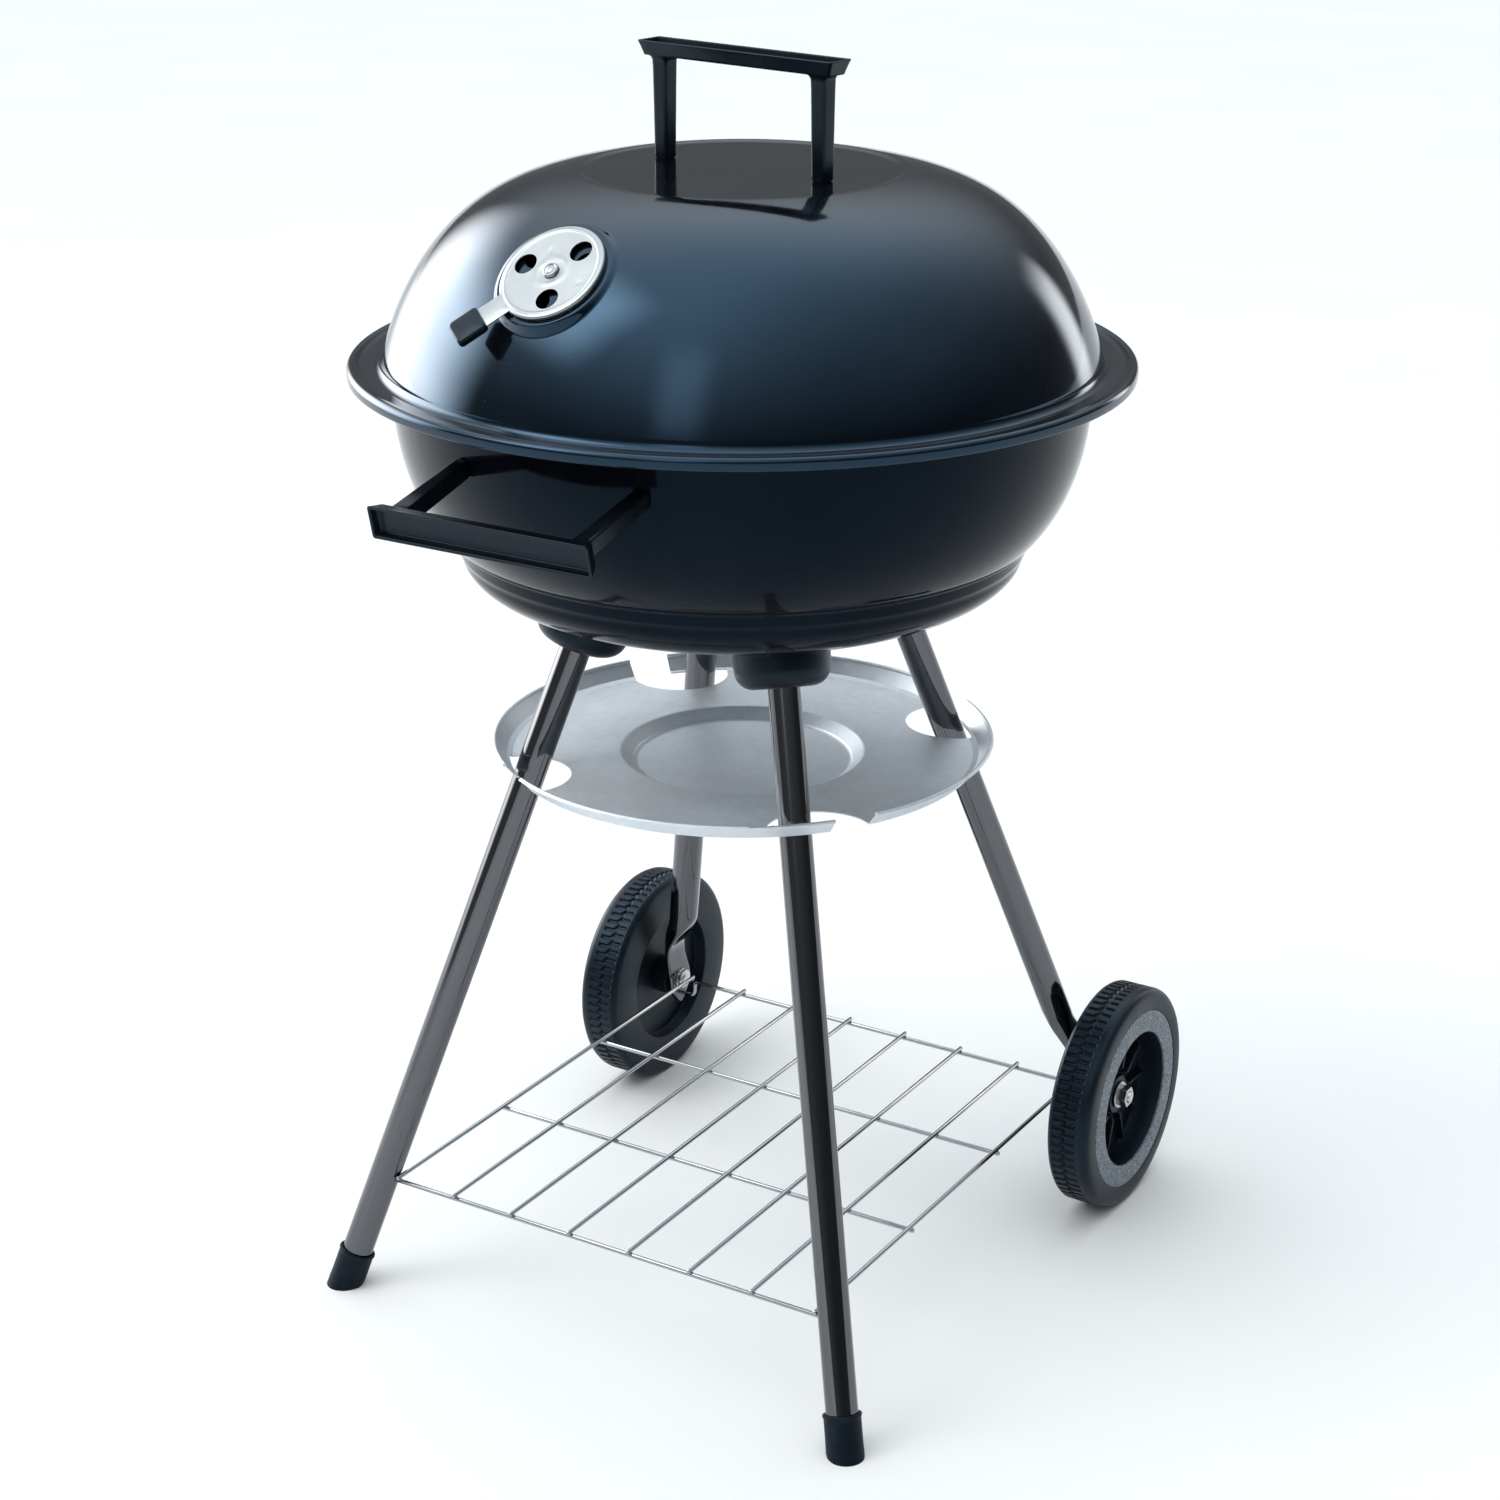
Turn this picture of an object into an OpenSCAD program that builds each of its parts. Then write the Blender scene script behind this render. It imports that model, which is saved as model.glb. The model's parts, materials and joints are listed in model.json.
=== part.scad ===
// Kettle charcoal grill on four splayed legs, two of them on wheels.
// X runs across the grill, -Y is the front with the bowl's handle, +Z is up, and the ground is z = 0.

/* [Kettle bowl] */
// Radius of the bowl's wall at its mouth
bowl_r = 204; // [170:1:245]
// Depth of the bowl from its mouth to its flat floor
bowl_depth = 139; // [116:1:167]
// How far the bowl's flat floor passes the middles of the legs
floor_over = 7.4; // [6:0.2:12]
// Height of the bowl's mouth above the ground
mouth_z = 577.5; // [500:0.5:690]
// Width of the flange around the mouth, out to the edge of the lid's brim
brim_w = 24; // [20:0.5:30]
// Thickness of the enamelled steel sheet
sheet_t = 1.2; // [0.8:0.1:1.6]
// Height of the pressed ledge above the bowl's floor
ledge_h = 39.5; // [34:0.5:46]
// Width of the pressed ledge that carries the charcoal grate
ledge_w = 3.5; // [3:0.1:5]

/* [Lid] */
// How far the lid's widest circle passes the bowl's wall
lid_over = 7; // [5:0.5:10]
// Height of the flat crown above the bowl's mouth
lid_h = 111; // [92:1:134]
// Radius of the flat crown that carries the handle
crown_r = 94; // [80:1:100]
// How deep the crown is pressed below the end of the dome
crown_drop = 1; // [0.5:0.1:2]
// Depth of the band that turns down around the brim
band_h = 7; // [5:0.5:9]
// How far the lid is turned on the bowl, in degrees
lid_turn = -8; // [-20:1:20]

/* [Handles] */
// Length of a handle's bar
handle_len = 141; // [118:1:168]
// Height of a handle from its feet to the open top of its bar
handle_h = 67; // [55:1:80]
// Width of a handle's bar across the top
bar_w = 19.5; // [16:0.5:24]
// Height of a handle's bar
bar_h = 8.5; // [7:0.5:11]
// Width of a handle's post, along the bar
post_w = 10.7; // [9:0.1:13]
// Depth of a handle's post, across the bar
post_d = 11; // [9:0.1:13]
// Depth of the middle of the bowl's handle below the bowl's mouth, at the wall
bowl_handle_drop = 27; // [25:0.5:36]
// How far the bowl's handle tips down from level, in degrees
bowl_handle_tip = 13; // [0:1:18]

/* [Vents] */
// Radius of the lid's damper disc
damper_r = 31; // [26:0.5:37]
// How far in from the lid's widest circle the middle of the vent is
vent_in = 44; // [38:0.5:60]
// How much flatter the vent lies than the dome around it, in degrees
vent_flatter = 2.5; // [0:0.1:5]
// Turn of the vent from the square of the lid's handle, in degrees
vent_bearing = 2.7; // [-10:0.1:10]
// Radius of each hole in the lid's vent
vent_hole_r = 6.6; // [5:0.1:7.5]
// Distance of those holes from the middle of the vent
vent_pcr = 19; // [16:0.1:20]
// Width of the bowl's damper disc outside its holes
bowl_damper_edge = 9; // [7:0.5:12]
// Radius of each hole in the bowl's floor
bowl_hole_r = 11; // [9:0.5:14]
// Distance of those holes from the bowl's axis
bowl_pcr = 36; // [33:0.5:40]

/* [Grates] */
// Distance from the bowl's wall at its mouth in to the middle of the cooking grate's ring
cook_in = 6.5; // [5.5:0.5:12]
// Depth of the cooking grate's rods below the bowl's mouth
cook_drop = 15; // [13:0.5:18]
// Radius of the grates' rods
rod_r = 2.5; // [2:0.1:3]
// Number of parallel rods in the cooking grate
cook_rods = 21; // [15:2:27]
// Number of parallel rods in the charcoal grate
coal_rods = 13; // [9:2:17]

/* [Legs] */
// Radius of the leg tubes
tube_r = 9.5; // [8:0.1:11.4]
// Thickness of the leg tubes' wall
tube_t = 1; // [0.8:0.1:1.5]
// Gap between the bowl's damper and the lip of a leg's socket, seen from above
socket_gap = 2.1; // [1:0.1:6]
// Distance of a front foot from the middle, across the grill
foot_x = 181; // [155:1:217]
// Distance of a front foot from the bowl's axis, along the grill
foot_y = 183; // [155:1:220]
// Length of a rubber foot cap
cap_h = 24; // [18:1:29]
// Thickness of a foot cap's rubber
cap_t = 1.4; // [1:0.1:2]
// Radius of a leg socket
socket_r = 28.5; // [24:0.5:31]
// Depth of a leg socket below its lip
socket_h = 23; // [20:0.5:27]

/* [Wheels] */
// Radius of a wheel
wheel_r = 73.5; // [62:0.5:88]
// Width of a wheel's tyre
wheel_w = 29.3; // [24:0.1:35]
// Distance from the middle to a wheel's inner face
wheel_x = 165.6; // [156:0.1:198]
// Distance from the bowl's axis back to the axle
axle_y = 172; // [155:1:206]
// Radius of an axle bolt
axle_r = 4; // [3:0.1:5]
// Distance from the tread in to the pale ring set in a wheel
trim_in = 14.1; // [11:0.1:18]
// Width of the pale ring, which ends at the hub's recess
trim_w = 14.5; // [11:0.1:18]

/* [Ash catcher and shelf] */
// Drop from the bowl's floor to the ash catcher's flat floor
ash_drop = 102; // [80:0.5:140]
// Height of the ash catcher's raised edge
ash_lip_h = 10; // [6:0.5:12]
// Width of the edge band that passes outside the legs
ash_band_w = 10; // [8:0.5:14]
// Radius of the dish in the middle of the ash catcher
dish_r = 74.5; // [60:0.5:84]
// Depth of that dish
dish_h = 7; // [5:0.5:10]
// Radius of each notch around a leg
notch_r = 31; // [26:0.5:35]
// Height of the shelf's cross wires above the ground
shelf_z = 72; // [60:0.5:86]
// Radius of the shelf's wires
wire_r = 1.4; // [1.1:0.1:1.8]
// Gap between the shelf's outer wires and the front legs
shelf_gap = 0.4; // [0.3:0.1:8]
// Number of long wires in the shelf
long_wires = 8; // [6:1:12]

/* [Hidden] */
$fn = 96;

// Clearances
lid_gap = 0.4;      // between the lid and the bowl's flange
fit = 0.05;         // radial, between a pin and the hole that turns on it
seat = 0.1;         // between two fixed pieces that are screwed together
free = 0.4;         // between a piece that lifts out and what it rests on
eps = 0.01;

// The curves of the dome and of the bowl are superellipses
dome_side = 4.32;   // power across the dome
dome_top = 1.38;    // power up the dome
bowl_side = 3.156;  // power across the bowl
bowl_down = 3.245;  // power down the bowl
dome_sink = 10.2;   // the dome's widest circle lies this far below the mouth
bowl_belly = 30.2;  // the bowl's widest circle lies this far above the mouth
curve_n = 30;

// Heights and radii that follow from the sizes above
rim_r = bowl_r + brim_w;
lid_r = bowl_r + lid_over;
floor_z = mouth_z - bowl_depth;
ledge_z = floor_z + ledge_h;
brim_z = mouth_z + lid_gap + sheet_t;
dome_z0 = mouth_z - dome_sink;
dome_h = lid_h + dome_sink;
crown_share = pow(1 - pow(crown_r / lid_r, dome_side), 1 / dome_top);
dome_full = dome_h / crown_share;
crown_top = mouth_z + lid_h - crown_drop;
brim_fillet = 5;
ring_h = 2.4;       // the rolled ring stands this far above the brim
ring_w = 6;         // and is this wide
band_z = brim_z + ring_h - band_h;
flange_r = rim_r - sheet_t - lid_gap;

// The bowl below its ledge
step_h = 8;         // height of the upright band below the ledge
bowl_curve = bowl_depth + bowl_belly;
function bowl_wall(z) =
    bowl_r * pow(1 - pow((mouth_z + bowl_belly - z) / bowl_curve, bowl_down), 1 / bowl_side);
ledge_r = bowl_wall(ledge_z);
step_r = ledge_r - ledge_w;

// The bowl's damper, then the sockets' lips around it, then the edge of the flat floor
socket_brim = 4;    // width of a socket's lip
bowl_damper_r = bowl_pcr + bowl_hole_r + bowl_damper_edge;
leg_top_r = bowl_damper_r + socket_gap + socket_r + socket_brim;
floor_r = leg_top_r + floor_over;

// Legs run from a foot to a point under the bowl's floor
leg_top = leg_top_r / sqrt(2);
front_foot = [foot_x, -foot_y, 0];
wheel_stand = 6.5;  // from the middle of a rear leg's flat to the wheel's inner face
axle = [wheel_x - wheel_stand, axle_y, wheel_r];
front_top = [leg_top, -leg_top, floor_z];
rear_top = [leg_top, leg_top, floor_z];
function at_z(a, b, z) = a + (b - a) * (z - a[2]) / (b[2] - a[2]);
function lean(a, b) = acos((b[2] - a[2]) / norm(b - a));
function level_r(p) = norm([p[0], p[1]]);
leg_in = 13;        // a tube ends this far below the floor, along the leg
tab_t = 3.4;        // a rear leg is pressed flat to this thickness
tab_up = 24;        // the flat starts this far above the axle
tab_down = 18;      // and ends this far below it
tab_w = 2 * tube_r + 6;

// Small hardware
screw_r = 2.5;
screw_head_r = 4.8;
screw_head_h = 2.6;
bolt_r = 3;
bolt_head_r = 5.8;
bolt_head_h = 3.6;
bolt_len = 9;
rivet_r = 2.5;
rivet_head_r = 4.8;
rivet_head_h = 1.8;
plate_t = 0.8;      // thickness of the dampers and of the ash catcher

// The lid's vent
pad_r = damper_r + 4.5;
pad_sink = 0.8;
skirt_h = 2.6;
vent_r = lid_r - vent_in;
damper_turn = 20;   // how far a damper stands from fully open
tab_bearing = -126; // direction of the damper's tab
tab_len = 17;
damper_tab_w = 15;
grip_len = 18;
grip_t = 5;
function dome_z(r) = dome_z0 + dome_full * pow(1 - pow(r / lid_r, dome_side), 1 / dome_top);
function dome_slope(r) = atan(dome_z(r - 0.5) - dome_z(r + 0.5));
vent_tilt = dome_slope(vent_r) - vent_flatter;

// The front reaches to the handle's bar and the rear to the wheels; the origin lies midway
handle_inset = 6;
bowl_handle_z = mouth_z - bowl_handle_drop;
bar_rise = bar_w / 2 * sin(bowl_handle_tip);
front_reach = bowl_wall(bowl_handle_z) - handle_inset + handle_h * cos(bowl_handle_tip) + bar_rise;
rear_reach = axle_y + wheel_r;
kettle_y = (front_reach - rear_reach) / 2;

// ---- helpers ----

function unit(v) = v / norm(v);
function right_of(a, b) = let(d = unit(b - a)) [d[1], -d[0]];
// Point i of a path moved sideways by t, so that the sheet keeps its thickness
function aside(p, i, t) =
    let(n1 = i > 0 ? right_of(p[i - 1], p[i]) : right_of(p[i], p[i + 1]),
        n2 = i < len(p) - 1 ? right_of(p[i], p[i + 1]) : n1,
        m = unit(n1 + n2))
    p[i] + m * t / (m * n1);
function back_path(p, t) = [for (i = [len(p) - 1:-1:0]) aside(p, i, t)];
function arc(cx, cz, r, a0, a1, n) =
    [for (i = [0:n]) let(a = a0 + (a1 - a0) * i / n) [cx + r * cos(a), cz + r * sin(a)]];

// Turns a sheet's outline into a round shell of thickness t, on the right-hand side of the path
module shell(path, t) {
    rotate_extrude($fn = 180) polygon(concat(path, back_path(path, t)));
}

module at_kettle() {
    translate([0, kettle_y, 0]) children();
}

// Moves +Z onto the line from a to b, with the origin at a
module along(a, b) {
    d = b - a;
    translate(a) rotate([0, acos(d[2] / norm(d)), atan2(d[1], d[0])]) children();
}

module rod(a, b, r) {
    along(a, b) cylinder(h = norm(b - a), r = r, $fn = 24);
}

module knuckle(p, r) {
    translate(p) sphere(r = r, $fn = 24);
}

module ring(r, thick) {
    rotate_extrude($fn = 120) translate([r, 0]) circle(r = thick, $fn = 24);
}

// Two sides of the grill: s = 1 is right and -1 is left
module side(s) {
    mirror([s > 0 ? 0 : 1, 0, 0]) children();
}

// ---- lid ----

function dome_path() =
    let(a0 = asin(pow(crown_share, dome_top / 2)),
        foot = brim_z + brim_fillet,
        a1 = asin(pow((foot - dome_z0) / dome_full, dome_top / 2)))
    [for (i = [0:curve_n]) let(a = a0 + (a1 - a0) * i / curve_n)
        [lid_r * pow(cos(a), 2 / dome_side), dome_z0 + dome_full * pow(sin(a), 2 / dome_top)]];
dome_foot_r = dome_path()[curve_n][0];
ring_mid = rim_r - ring_w / 2;

function lid_path() = concat(
    [[0, crown_top], [crown_r - 3, crown_top]],
    dome_path(),
    arc(dome_foot_r + brim_fillet, brim_z + brim_fillet, brim_fillet, 190, 270, 5),
    [[rim_r - ring_w - 2, brim_z]],
    arc(ring_mid, brim_z + ring_h - ring_w / 2, ring_w / 2, 125, 0, 8),
    [[rim_r, band_z]]);

// Frame of the lid's vent: origin on the pad, +Z out of the dome, +Y up the dome
module at_vent() {
    rotate(lid_turn) rotate(vent_bearing) translate([0, -vent_r, dome_z(vent_r)])
        rotate([vent_tilt, 0, 0]) translate([0, 0, -pad_sink]) children();
}

module vent_holes(r, pcr, first) {
    for (k = [0:2])
        rotate(first + 120 * k) translate([pcr, 0, -50]) cylinder(h = 100, r = r, $fn = 48);
}

// Everything under the lid's sheet
module lid_void() {
    rotate_extrude($fn = 180)
        polygon(concat([[0, band_z - 40]], [for (i = [0:len(lid_path()) - 1]) aside(lid_path(), i, sheet_t)],
            [[rim_r - sheet_t, band_z - 40]]));
}

post_in = 7.5;      // from the end of a handle's bar to its post
post_x = handle_len / 2 - post_in - post_w / 2;

module post_places() {
    for (s = [-1, 1]) translate([s * post_x, 0, 0]) children();
}

module lid_shell() {
    color("#101216") at_kettle() difference() {
        union() {
            difference() {
                shell(lid_path(), sheet_t);
                at_vent() translate([0, 0, -20]) cylinder(h = 40, r = pad_r - sheet_t);
            }
            difference() {
                at_vent() difference() {
                    translate([0, 0, -8]) cylinder(h = 8, r = pad_r);
                    translate([0, 0, -8 - eps]) cylinder(h = 8 - sheet_t + eps, r = pad_r - sheet_t);
                }
                lid_void();
            }
        }
        at_vent() vent_holes(vent_hole_r, vent_pcr, tab_bearing + 60 - damper_turn);
        at_vent() translate([0, 0, -10]) cylinder(h = 20, r = rivet_r + seat);
        rotate(lid_turn) post_places()
            translate([0, 0, crown_top - 5]) cylinder(h = 10, r = screw_r + seat);
    }
}

// ---- handles, in a frame with the feet at z = 0 and the bar along X ----

bar_taper = 3;      // the bar is shorter by this at each end of its underside
bar_side = 2.2;     // and narrower by this at each side
trough_wall = 1.8;
trough_deep = 5;
screw_deep = 18;

module handle(foot) {
    difference() {
        union() {
            intersection() {
                rotate([90, 0, 0]) translate([0, 0, -bar_w]) linear_extrude(2 * bar_w)
                    polygon([[-handle_len / 2, handle_h], [handle_len / 2, handle_h],
                        [handle_len / 2 - bar_taper, handle_h - bar_h],
                        [bar_taper - handle_len / 2, handle_h - bar_h]]);
                rotate([90, 0, 90]) translate([0, 0, -handle_len]) linear_extrude(2 * handle_len)
                    polygon([[-bar_w / 2, handle_h], [bar_w / 2, handle_h],
                        [bar_w / 2 - bar_side, handle_h - bar_h], [bar_side - bar_w / 2, handle_h - bar_h]]);
            }
            post_places() rotate([90, 0, 0]) translate([0, 0, -post_d / 2]) linear_extrude(post_d)
                polygon([[-post_w / 2, handle_h - bar_h + eps], [post_w / 2, handle_h - bar_h + eps],
                    [post_w / 2 - 0.4, -foot], [0.4 - post_w / 2, -foot]]);
        }
        translate([-handle_len / 2 + trough_wall + 0.5, trough_wall - bar_w / 2, handle_h - trough_deep])
            cube([handle_len - 2 * trough_wall - 1, bar_w - 2 * trough_wall, trough_deep + 1]);
        post_places() translate([0, 0, -foot - 1]) cylinder(h = screw_deep + foot + 1, r = screw_r + fit);
    }
}

module lid_handle() {
    color("#15171b") at_kettle() rotate(lid_turn) translate([0, 0, crown_top + seat]) handle(0);
}

// Screw with its head at z < 0 and its shank along +Z
module screw(r, length, head_r, head_h) {
    cylinder(h = length, r = r, $fn = 32);
    translate([0, 0, -head_h]) cylinder(h = head_h + eps, r = head_r, $fn = 32);
}

module lid_handle_screws() {
    color("#b8bcc2") at_kettle() rotate(lid_turn) post_places()
        translate([0, 0, crown_top - sheet_t - seat])
            screw(screw_r, screw_deep - 2, screw_head_r, screw_head_h);
}

// ---- lid vent ----

damper_lift = 0.3;  // the damper's edge clears the pad by this
damper_top = damper_lift + skirt_h;

module lid_vent_damper() {
    color("#d5d8dc") at_kettle() at_vent() difference() {
        union() {
            translate([0, 0, damper_lift]) cylinder(h = skirt_h, r = damper_r);
            rotate(tab_bearing) translate([damper_r - 4, -damper_tab_w / 2, damper_top - plate_t])
                cube([4 + tab_len, damper_tab_w, plate_t]);
        }
        translate([0, 0, damper_lift - eps])
            cylinder(h = skirt_h - plate_t + eps, r = damper_r - plate_t);
        vent_holes(vent_hole_r, vent_pcr, tab_bearing + 60);
        translate([0, 0, -5]) cylinder(h = 20, r = rivet_r + fit);
    }
}

module lid_vent_grip() {
    color("#15171b") at_kettle() at_vent() rotate(tab_bearing)
        translate([damper_r + tab_len - 4, -grip_len / 2, damper_top - plate_t / 2 - grip_t / 2])
            difference() {
                cube([grip_len, grip_len, grip_t]);
                translate([-eps, (grip_len - damper_tab_w) / 2 - seat, (grip_t - plate_t) / 2 - seat])
                    cube([4 + seat, damper_tab_w + 2 * seat, plate_t + 2 * seat]);
            }
}

module rivet(r, length, head_r, head_h) {
    translate([0, 0, -length]) cylinder(h = length + head_h, r = r, $fn = 48);
    cylinder(h = head_h, r = head_r, $fn = 48);
}

module lid_vent_rivet() {
    color("#c9ccd1") at_kettle() at_vent() {
        translate([0, 0, damper_top + 0.3])
            rivet(rivet_r, damper_top + 0.3 + sheet_t + 1.5, rivet_head_r, rivet_head_h);
        translate([0, 0, -sheet_t - seat - 1.4]) cylinder(h = 1.4, r = rivet_head_r - 0.6, $fn = 48);
    }
}

// ---- bowl ----

flange_bend = 6;    // radius of the bend from the wall into the flange
flange_turn = 3;    // radius of the flange's turned-down edge
wall_top = mouth_z - sheet_t - flange_bend - 1;
low_r = step_r - 2;
low_z = ledge_z - step_h - 2;
function bowl_outside() = concat(
    [[0, floor_z]],
    [for (i = [0:12]) let(a = 90 * i / 12)
        [floor_r + (low_r - floor_r) * sin(a), low_z - (low_z - floor_z) * cos(a)]],
    [[step_r, ledge_z - step_h], [step_r, ledge_z - 1], [ledge_r - 0.8, ledge_z]],
    [for (i = [1:curve_n]) let(z = ledge_z + 1 + (wall_top - 1 - ledge_z) * i / curve_n) [bowl_wall(z), z]],
    arc(bowl_wall(wall_top) + flange_bend, wall_top + 1, flange_bend, 180, 90, 5),
    arc(flange_r - flange_turn, mouth_z - flange_turn, flange_turn - sheet_t, 90, 0, 3));

// The bowl as a solid, to cut what stands against it
module bowl_solid(grow) {
    translate([0, 0, -grow]) rotate_extrude($fn = 180)
        polygon(concat([for (p = bowl_outside()) if (p[1] < wall_top) [p[0] + (p[0] > 0 ? grow : 0), p[1]]],
            [[bowl_r + 2, mouth_z], [0, mouth_z]]));
}

module at_bowl_handle() {
    translate([0, handle_inset - bowl_wall(bowl_handle_z), bowl_handle_z])
        rotate([90 + bowl_handle_tip, 0, 0]) children();
}

module socket_places() {
    for (x = [-1, 1], y = [-1, 1]) translate([x * leg_top, y * leg_top, floor_z]) children();
}

module bowl_shell() {
    color("#101216") at_kettle() difference() {
        shell(bowl_outside(), -sheet_t);
        translate([0, 0, floor_z]) vent_holes(bowl_hole_r, bowl_pcr, 30);
        translate([0, 0, floor_z - 5]) cylinder(h = 10, r = rivet_r + seat);
        socket_places() translate([0, 0, -5]) cylinder(h = 10, r = bolt_r + seat);
        at_bowl_handle() post_places()
            translate([0, 0, -20]) cylinder(h = 30, r = screw_r + 1);
    }
}

foot_sunk = 14;     // the posts start this far behind the frame's plane and are cut by the wall
module bowl_handle() {
    color("#15171b") at_kettle() difference() {
        at_bowl_handle() handle(foot_sunk);
        bowl_solid(seat);
    }
}

screw_stand = 2.2;  // the heads stand off the curved wall by this
module bowl_handle_screws() {
    wall = bowl_wall(bowl_handle_z);
    back = wall - handle_inset - sqrt(pow(wall, 2) - pow(post_x, 2));
    color("#b8bcc2") at_kettle() at_bowl_handle() post_places()
        translate([0, 0, -back - sheet_t - screw_stand])
            screw(screw_r, back + sheet_t + screw_stand + screw_deep - 2, screw_head_r, screw_head_h);
}

// ---- grates ----

bracket_w = 16;
bracket_in = 12;
cook_r = bowl_r - cook_in;
cook_z = mouth_z - cook_drop;
bracket_top = cook_z - rod_r - free;
bracket_t = 1.5;
wall_in = bowl_wall(bracket_top - 10) - sheet_t;

module grate_brackets() {
    color("#8f9398") at_kettle() intersection() {
        for (k = [0:3]) rotate(45 + 90 * k) {
            translate([wall_in - bracket_in, -bracket_w / 2, bracket_top - bracket_t])
                cube([bracket_in + 5, bracket_w, bracket_t]);
            translate([wall_in - 3.2, -bracket_w / 2, bracket_top - 14])
                cube([8, bracket_w, 14]);
        }
        rotate_extrude($fn = 180)
            polygon(concat([[0, mouth_z]], [[0, bracket_top - 20]],
                [for (i = [0:8]) let(z = bracket_top - 20 + 20 * i / 8 + eps) [bowl_wall(z) - sheet_t - seat, z]],
                [[bowl_wall(mouth_z - 10) - sheet_t - seat, mouth_z]]));
    }
}

weld = 0.15;        // a bend is this much thicker than the rod or wire
// Parallel rods inside a ring of radius r, n of them, along Y, with two cross rods below
module grid(r, n, cross_at, cross_in) {
    pitch = 2 * r / (n + 1);
    bar_r = 0.8 * rod_r;
    for (i = [1:n]) {
        x = -r + pitch * i;
        half = sqrt(pow(r, 2) - pow(x, 2));
        translate([x, -half, 0]) rotate([-90, 0, 0]) cylinder(h = 2 * half, r = bar_r, $fn = 24);
    }
    for (s = [-1, 1]) {
        half = sqrt(pow(r, 2) - pow(cross_at, 2)) - cross_in;
        translate([-half, s * cross_at, -1.7 * bar_r]) rotate([0, 90, 0])
            cylinder(h = 2 * half, r = bar_r, $fn = 24);
    }
}

loop_w = 60;
loop_up = 14;
module grate_loop(r) {
    y0 = sqrt(pow(r, 2) - pow(loop_w / 2, 2)) - 1;
    rod([-loop_w / 2, y0, 0], [-loop_w / 2, y0, loop_up], rod_r);
    rod([loop_w / 2, y0, 0], [loop_w / 2, y0, loop_up], rod_r);
    rod([-loop_w / 2, y0, loop_up], [loop_w / 2, y0, loop_up], rod_r);
    knuckle([-loop_w / 2, y0, loop_up], rod_r + weld);
    knuckle([loop_w / 2, y0, loop_up], rod_r + weld);
}

module cooking_grate() {
    color("#c4c7cc") at_kettle() translate([0, 0, cook_z]) {
        ring(cook_r, rod_r);
        grid(cook_r, cook_rods, cook_r * 0.42, 0);
        grate_loop(cook_r);
        rotate(180) grate_loop(cook_r);
    }
}

coal_r = ledge_r - sheet_t - rod_r - 0.6;
coal_z = ledge_z + sheet_t + free + rod_r;
module charcoal_grate() {
    color("#55585c") at_kettle() translate([0, 0, coal_z]) {
        ring(coal_r, rod_r);
        grid(coal_r, coal_rods, coal_r * 0.45, 8);
    }
}

// ---- vent under the bowl ----

bowl_damper_gap = 0.4;
bowl_damper_z = floor_z - bowl_damper_gap - plate_t;
lever_w = 14;       // the damper's lever is a tab folded down at its rear edge
lever_drop = 14;

module bowl_vent_damper() {
    color("#b0b4ba") at_kettle() translate([0, 0, bowl_damper_z]) difference() {
        union() {
            cylinder(h = plate_t, r = bowl_damper_r);
            translate([-lever_w / 2, bowl_damper_r - plate_t, -lever_drop])
                cube([lever_w, plate_t, lever_drop + plate_t]);
        }
        vent_holes(bowl_hole_r, bowl_pcr, 30 + damper_turn);
        translate([0, 0, -5]) cylinder(h = 10, r = rivet_r + fit);
    }
}

module bowl_vent_rivet() {
    color("#c9ccd1") at_kettle() translate([0, 0, bowl_damper_z - 0.3]) {
        mirror([0, 0, 1]) rivet(rivet_r, 0.3 + plate_t + bowl_damper_gap + sheet_t + 1.5, rivet_head_r + 1.5, 1.6);
        translate([0, 0, 0.3 + plate_t + bowl_damper_gap + sheet_t + seat])
            cylinder(h = 1.4, r = rivet_head_r, $fn = 48);
    }
}

// ---- leg sockets and legs; each is made on the right and mirrored to the left ----

lip_down = 6.5;     // the lip lies this far below the floor, along the leg
lip_r = socket_r + socket_brim;
lip_t = 1.6;
socket_round = 11;

module socket_form() {
    bottom = -lip_down - socket_h;
    rotate_extrude() polygon(concat(
        [[0, bottom], [socket_r - socket_round - 1, bottom]],
        arc(socket_r - socket_round - 1, bottom + socket_round, socket_round, -90, -8, 8),
        [[socket_r, -lip_down - lip_t], [lip_r, -lip_down - lip_t], [lip_r, -lip_down],
            [socket_r - 1, -lip_down], [socket_r - 1, 24], [0, 24]]));
}

// The frame of a leg: origin at its end under the floor, +Z up the leg
module at_leg_top(low, high) {
    translate(high - low) along(low, high) children();
}

module leg_socket(low, high) {
    difference() {
        at_leg_top(low, high) difference() {
            socket_form();
            translate([0, 0, -lip_down - socket_h - 1])
                cylinder(h = lip_down + socket_h + 1 - leg_in + 0.5, r = tube_r + fit);
        }
        bowl_solid(seat);
        translate([high[0], high[1], floor_z - bolt_len - 1]) cylinder(h = bolt_len + 20, r = bolt_r + fit);
    }
}

module front_socket() {
    color("#17191d") at_kettle() leg_socket(front_foot, front_top);
}

module rear_socket() {
    color("#17191d") at_kettle() leg_socket(axle, rear_top);
}

module leg_socket_front_right() { side(1) front_socket(); }
module leg_socket_front_left() { side(-1) front_socket(); }
module leg_socket_rear_right() { side(1) rear_socket(); }
module leg_socket_rear_left() { side(-1) rear_socket(); }

module socket_bolts() {
    color("#b8bcc2") at_kettle() socket_places() translate([0, 0, sheet_t + seat])
        mirror([0, 0, 1]) screw(bolt_r, bolt_len + sheet_t + seat, bolt_head_r, bolt_head_h);
}

front_cos = cos(lean(front_foot, front_top));
front_sin = sin(lean(front_foot, front_top));
tube_end = (cap_t + 0.6 + tube_r * front_sin) / front_cos;
shelf_front = at_z(front_foot, front_top, shelf_z);

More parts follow.
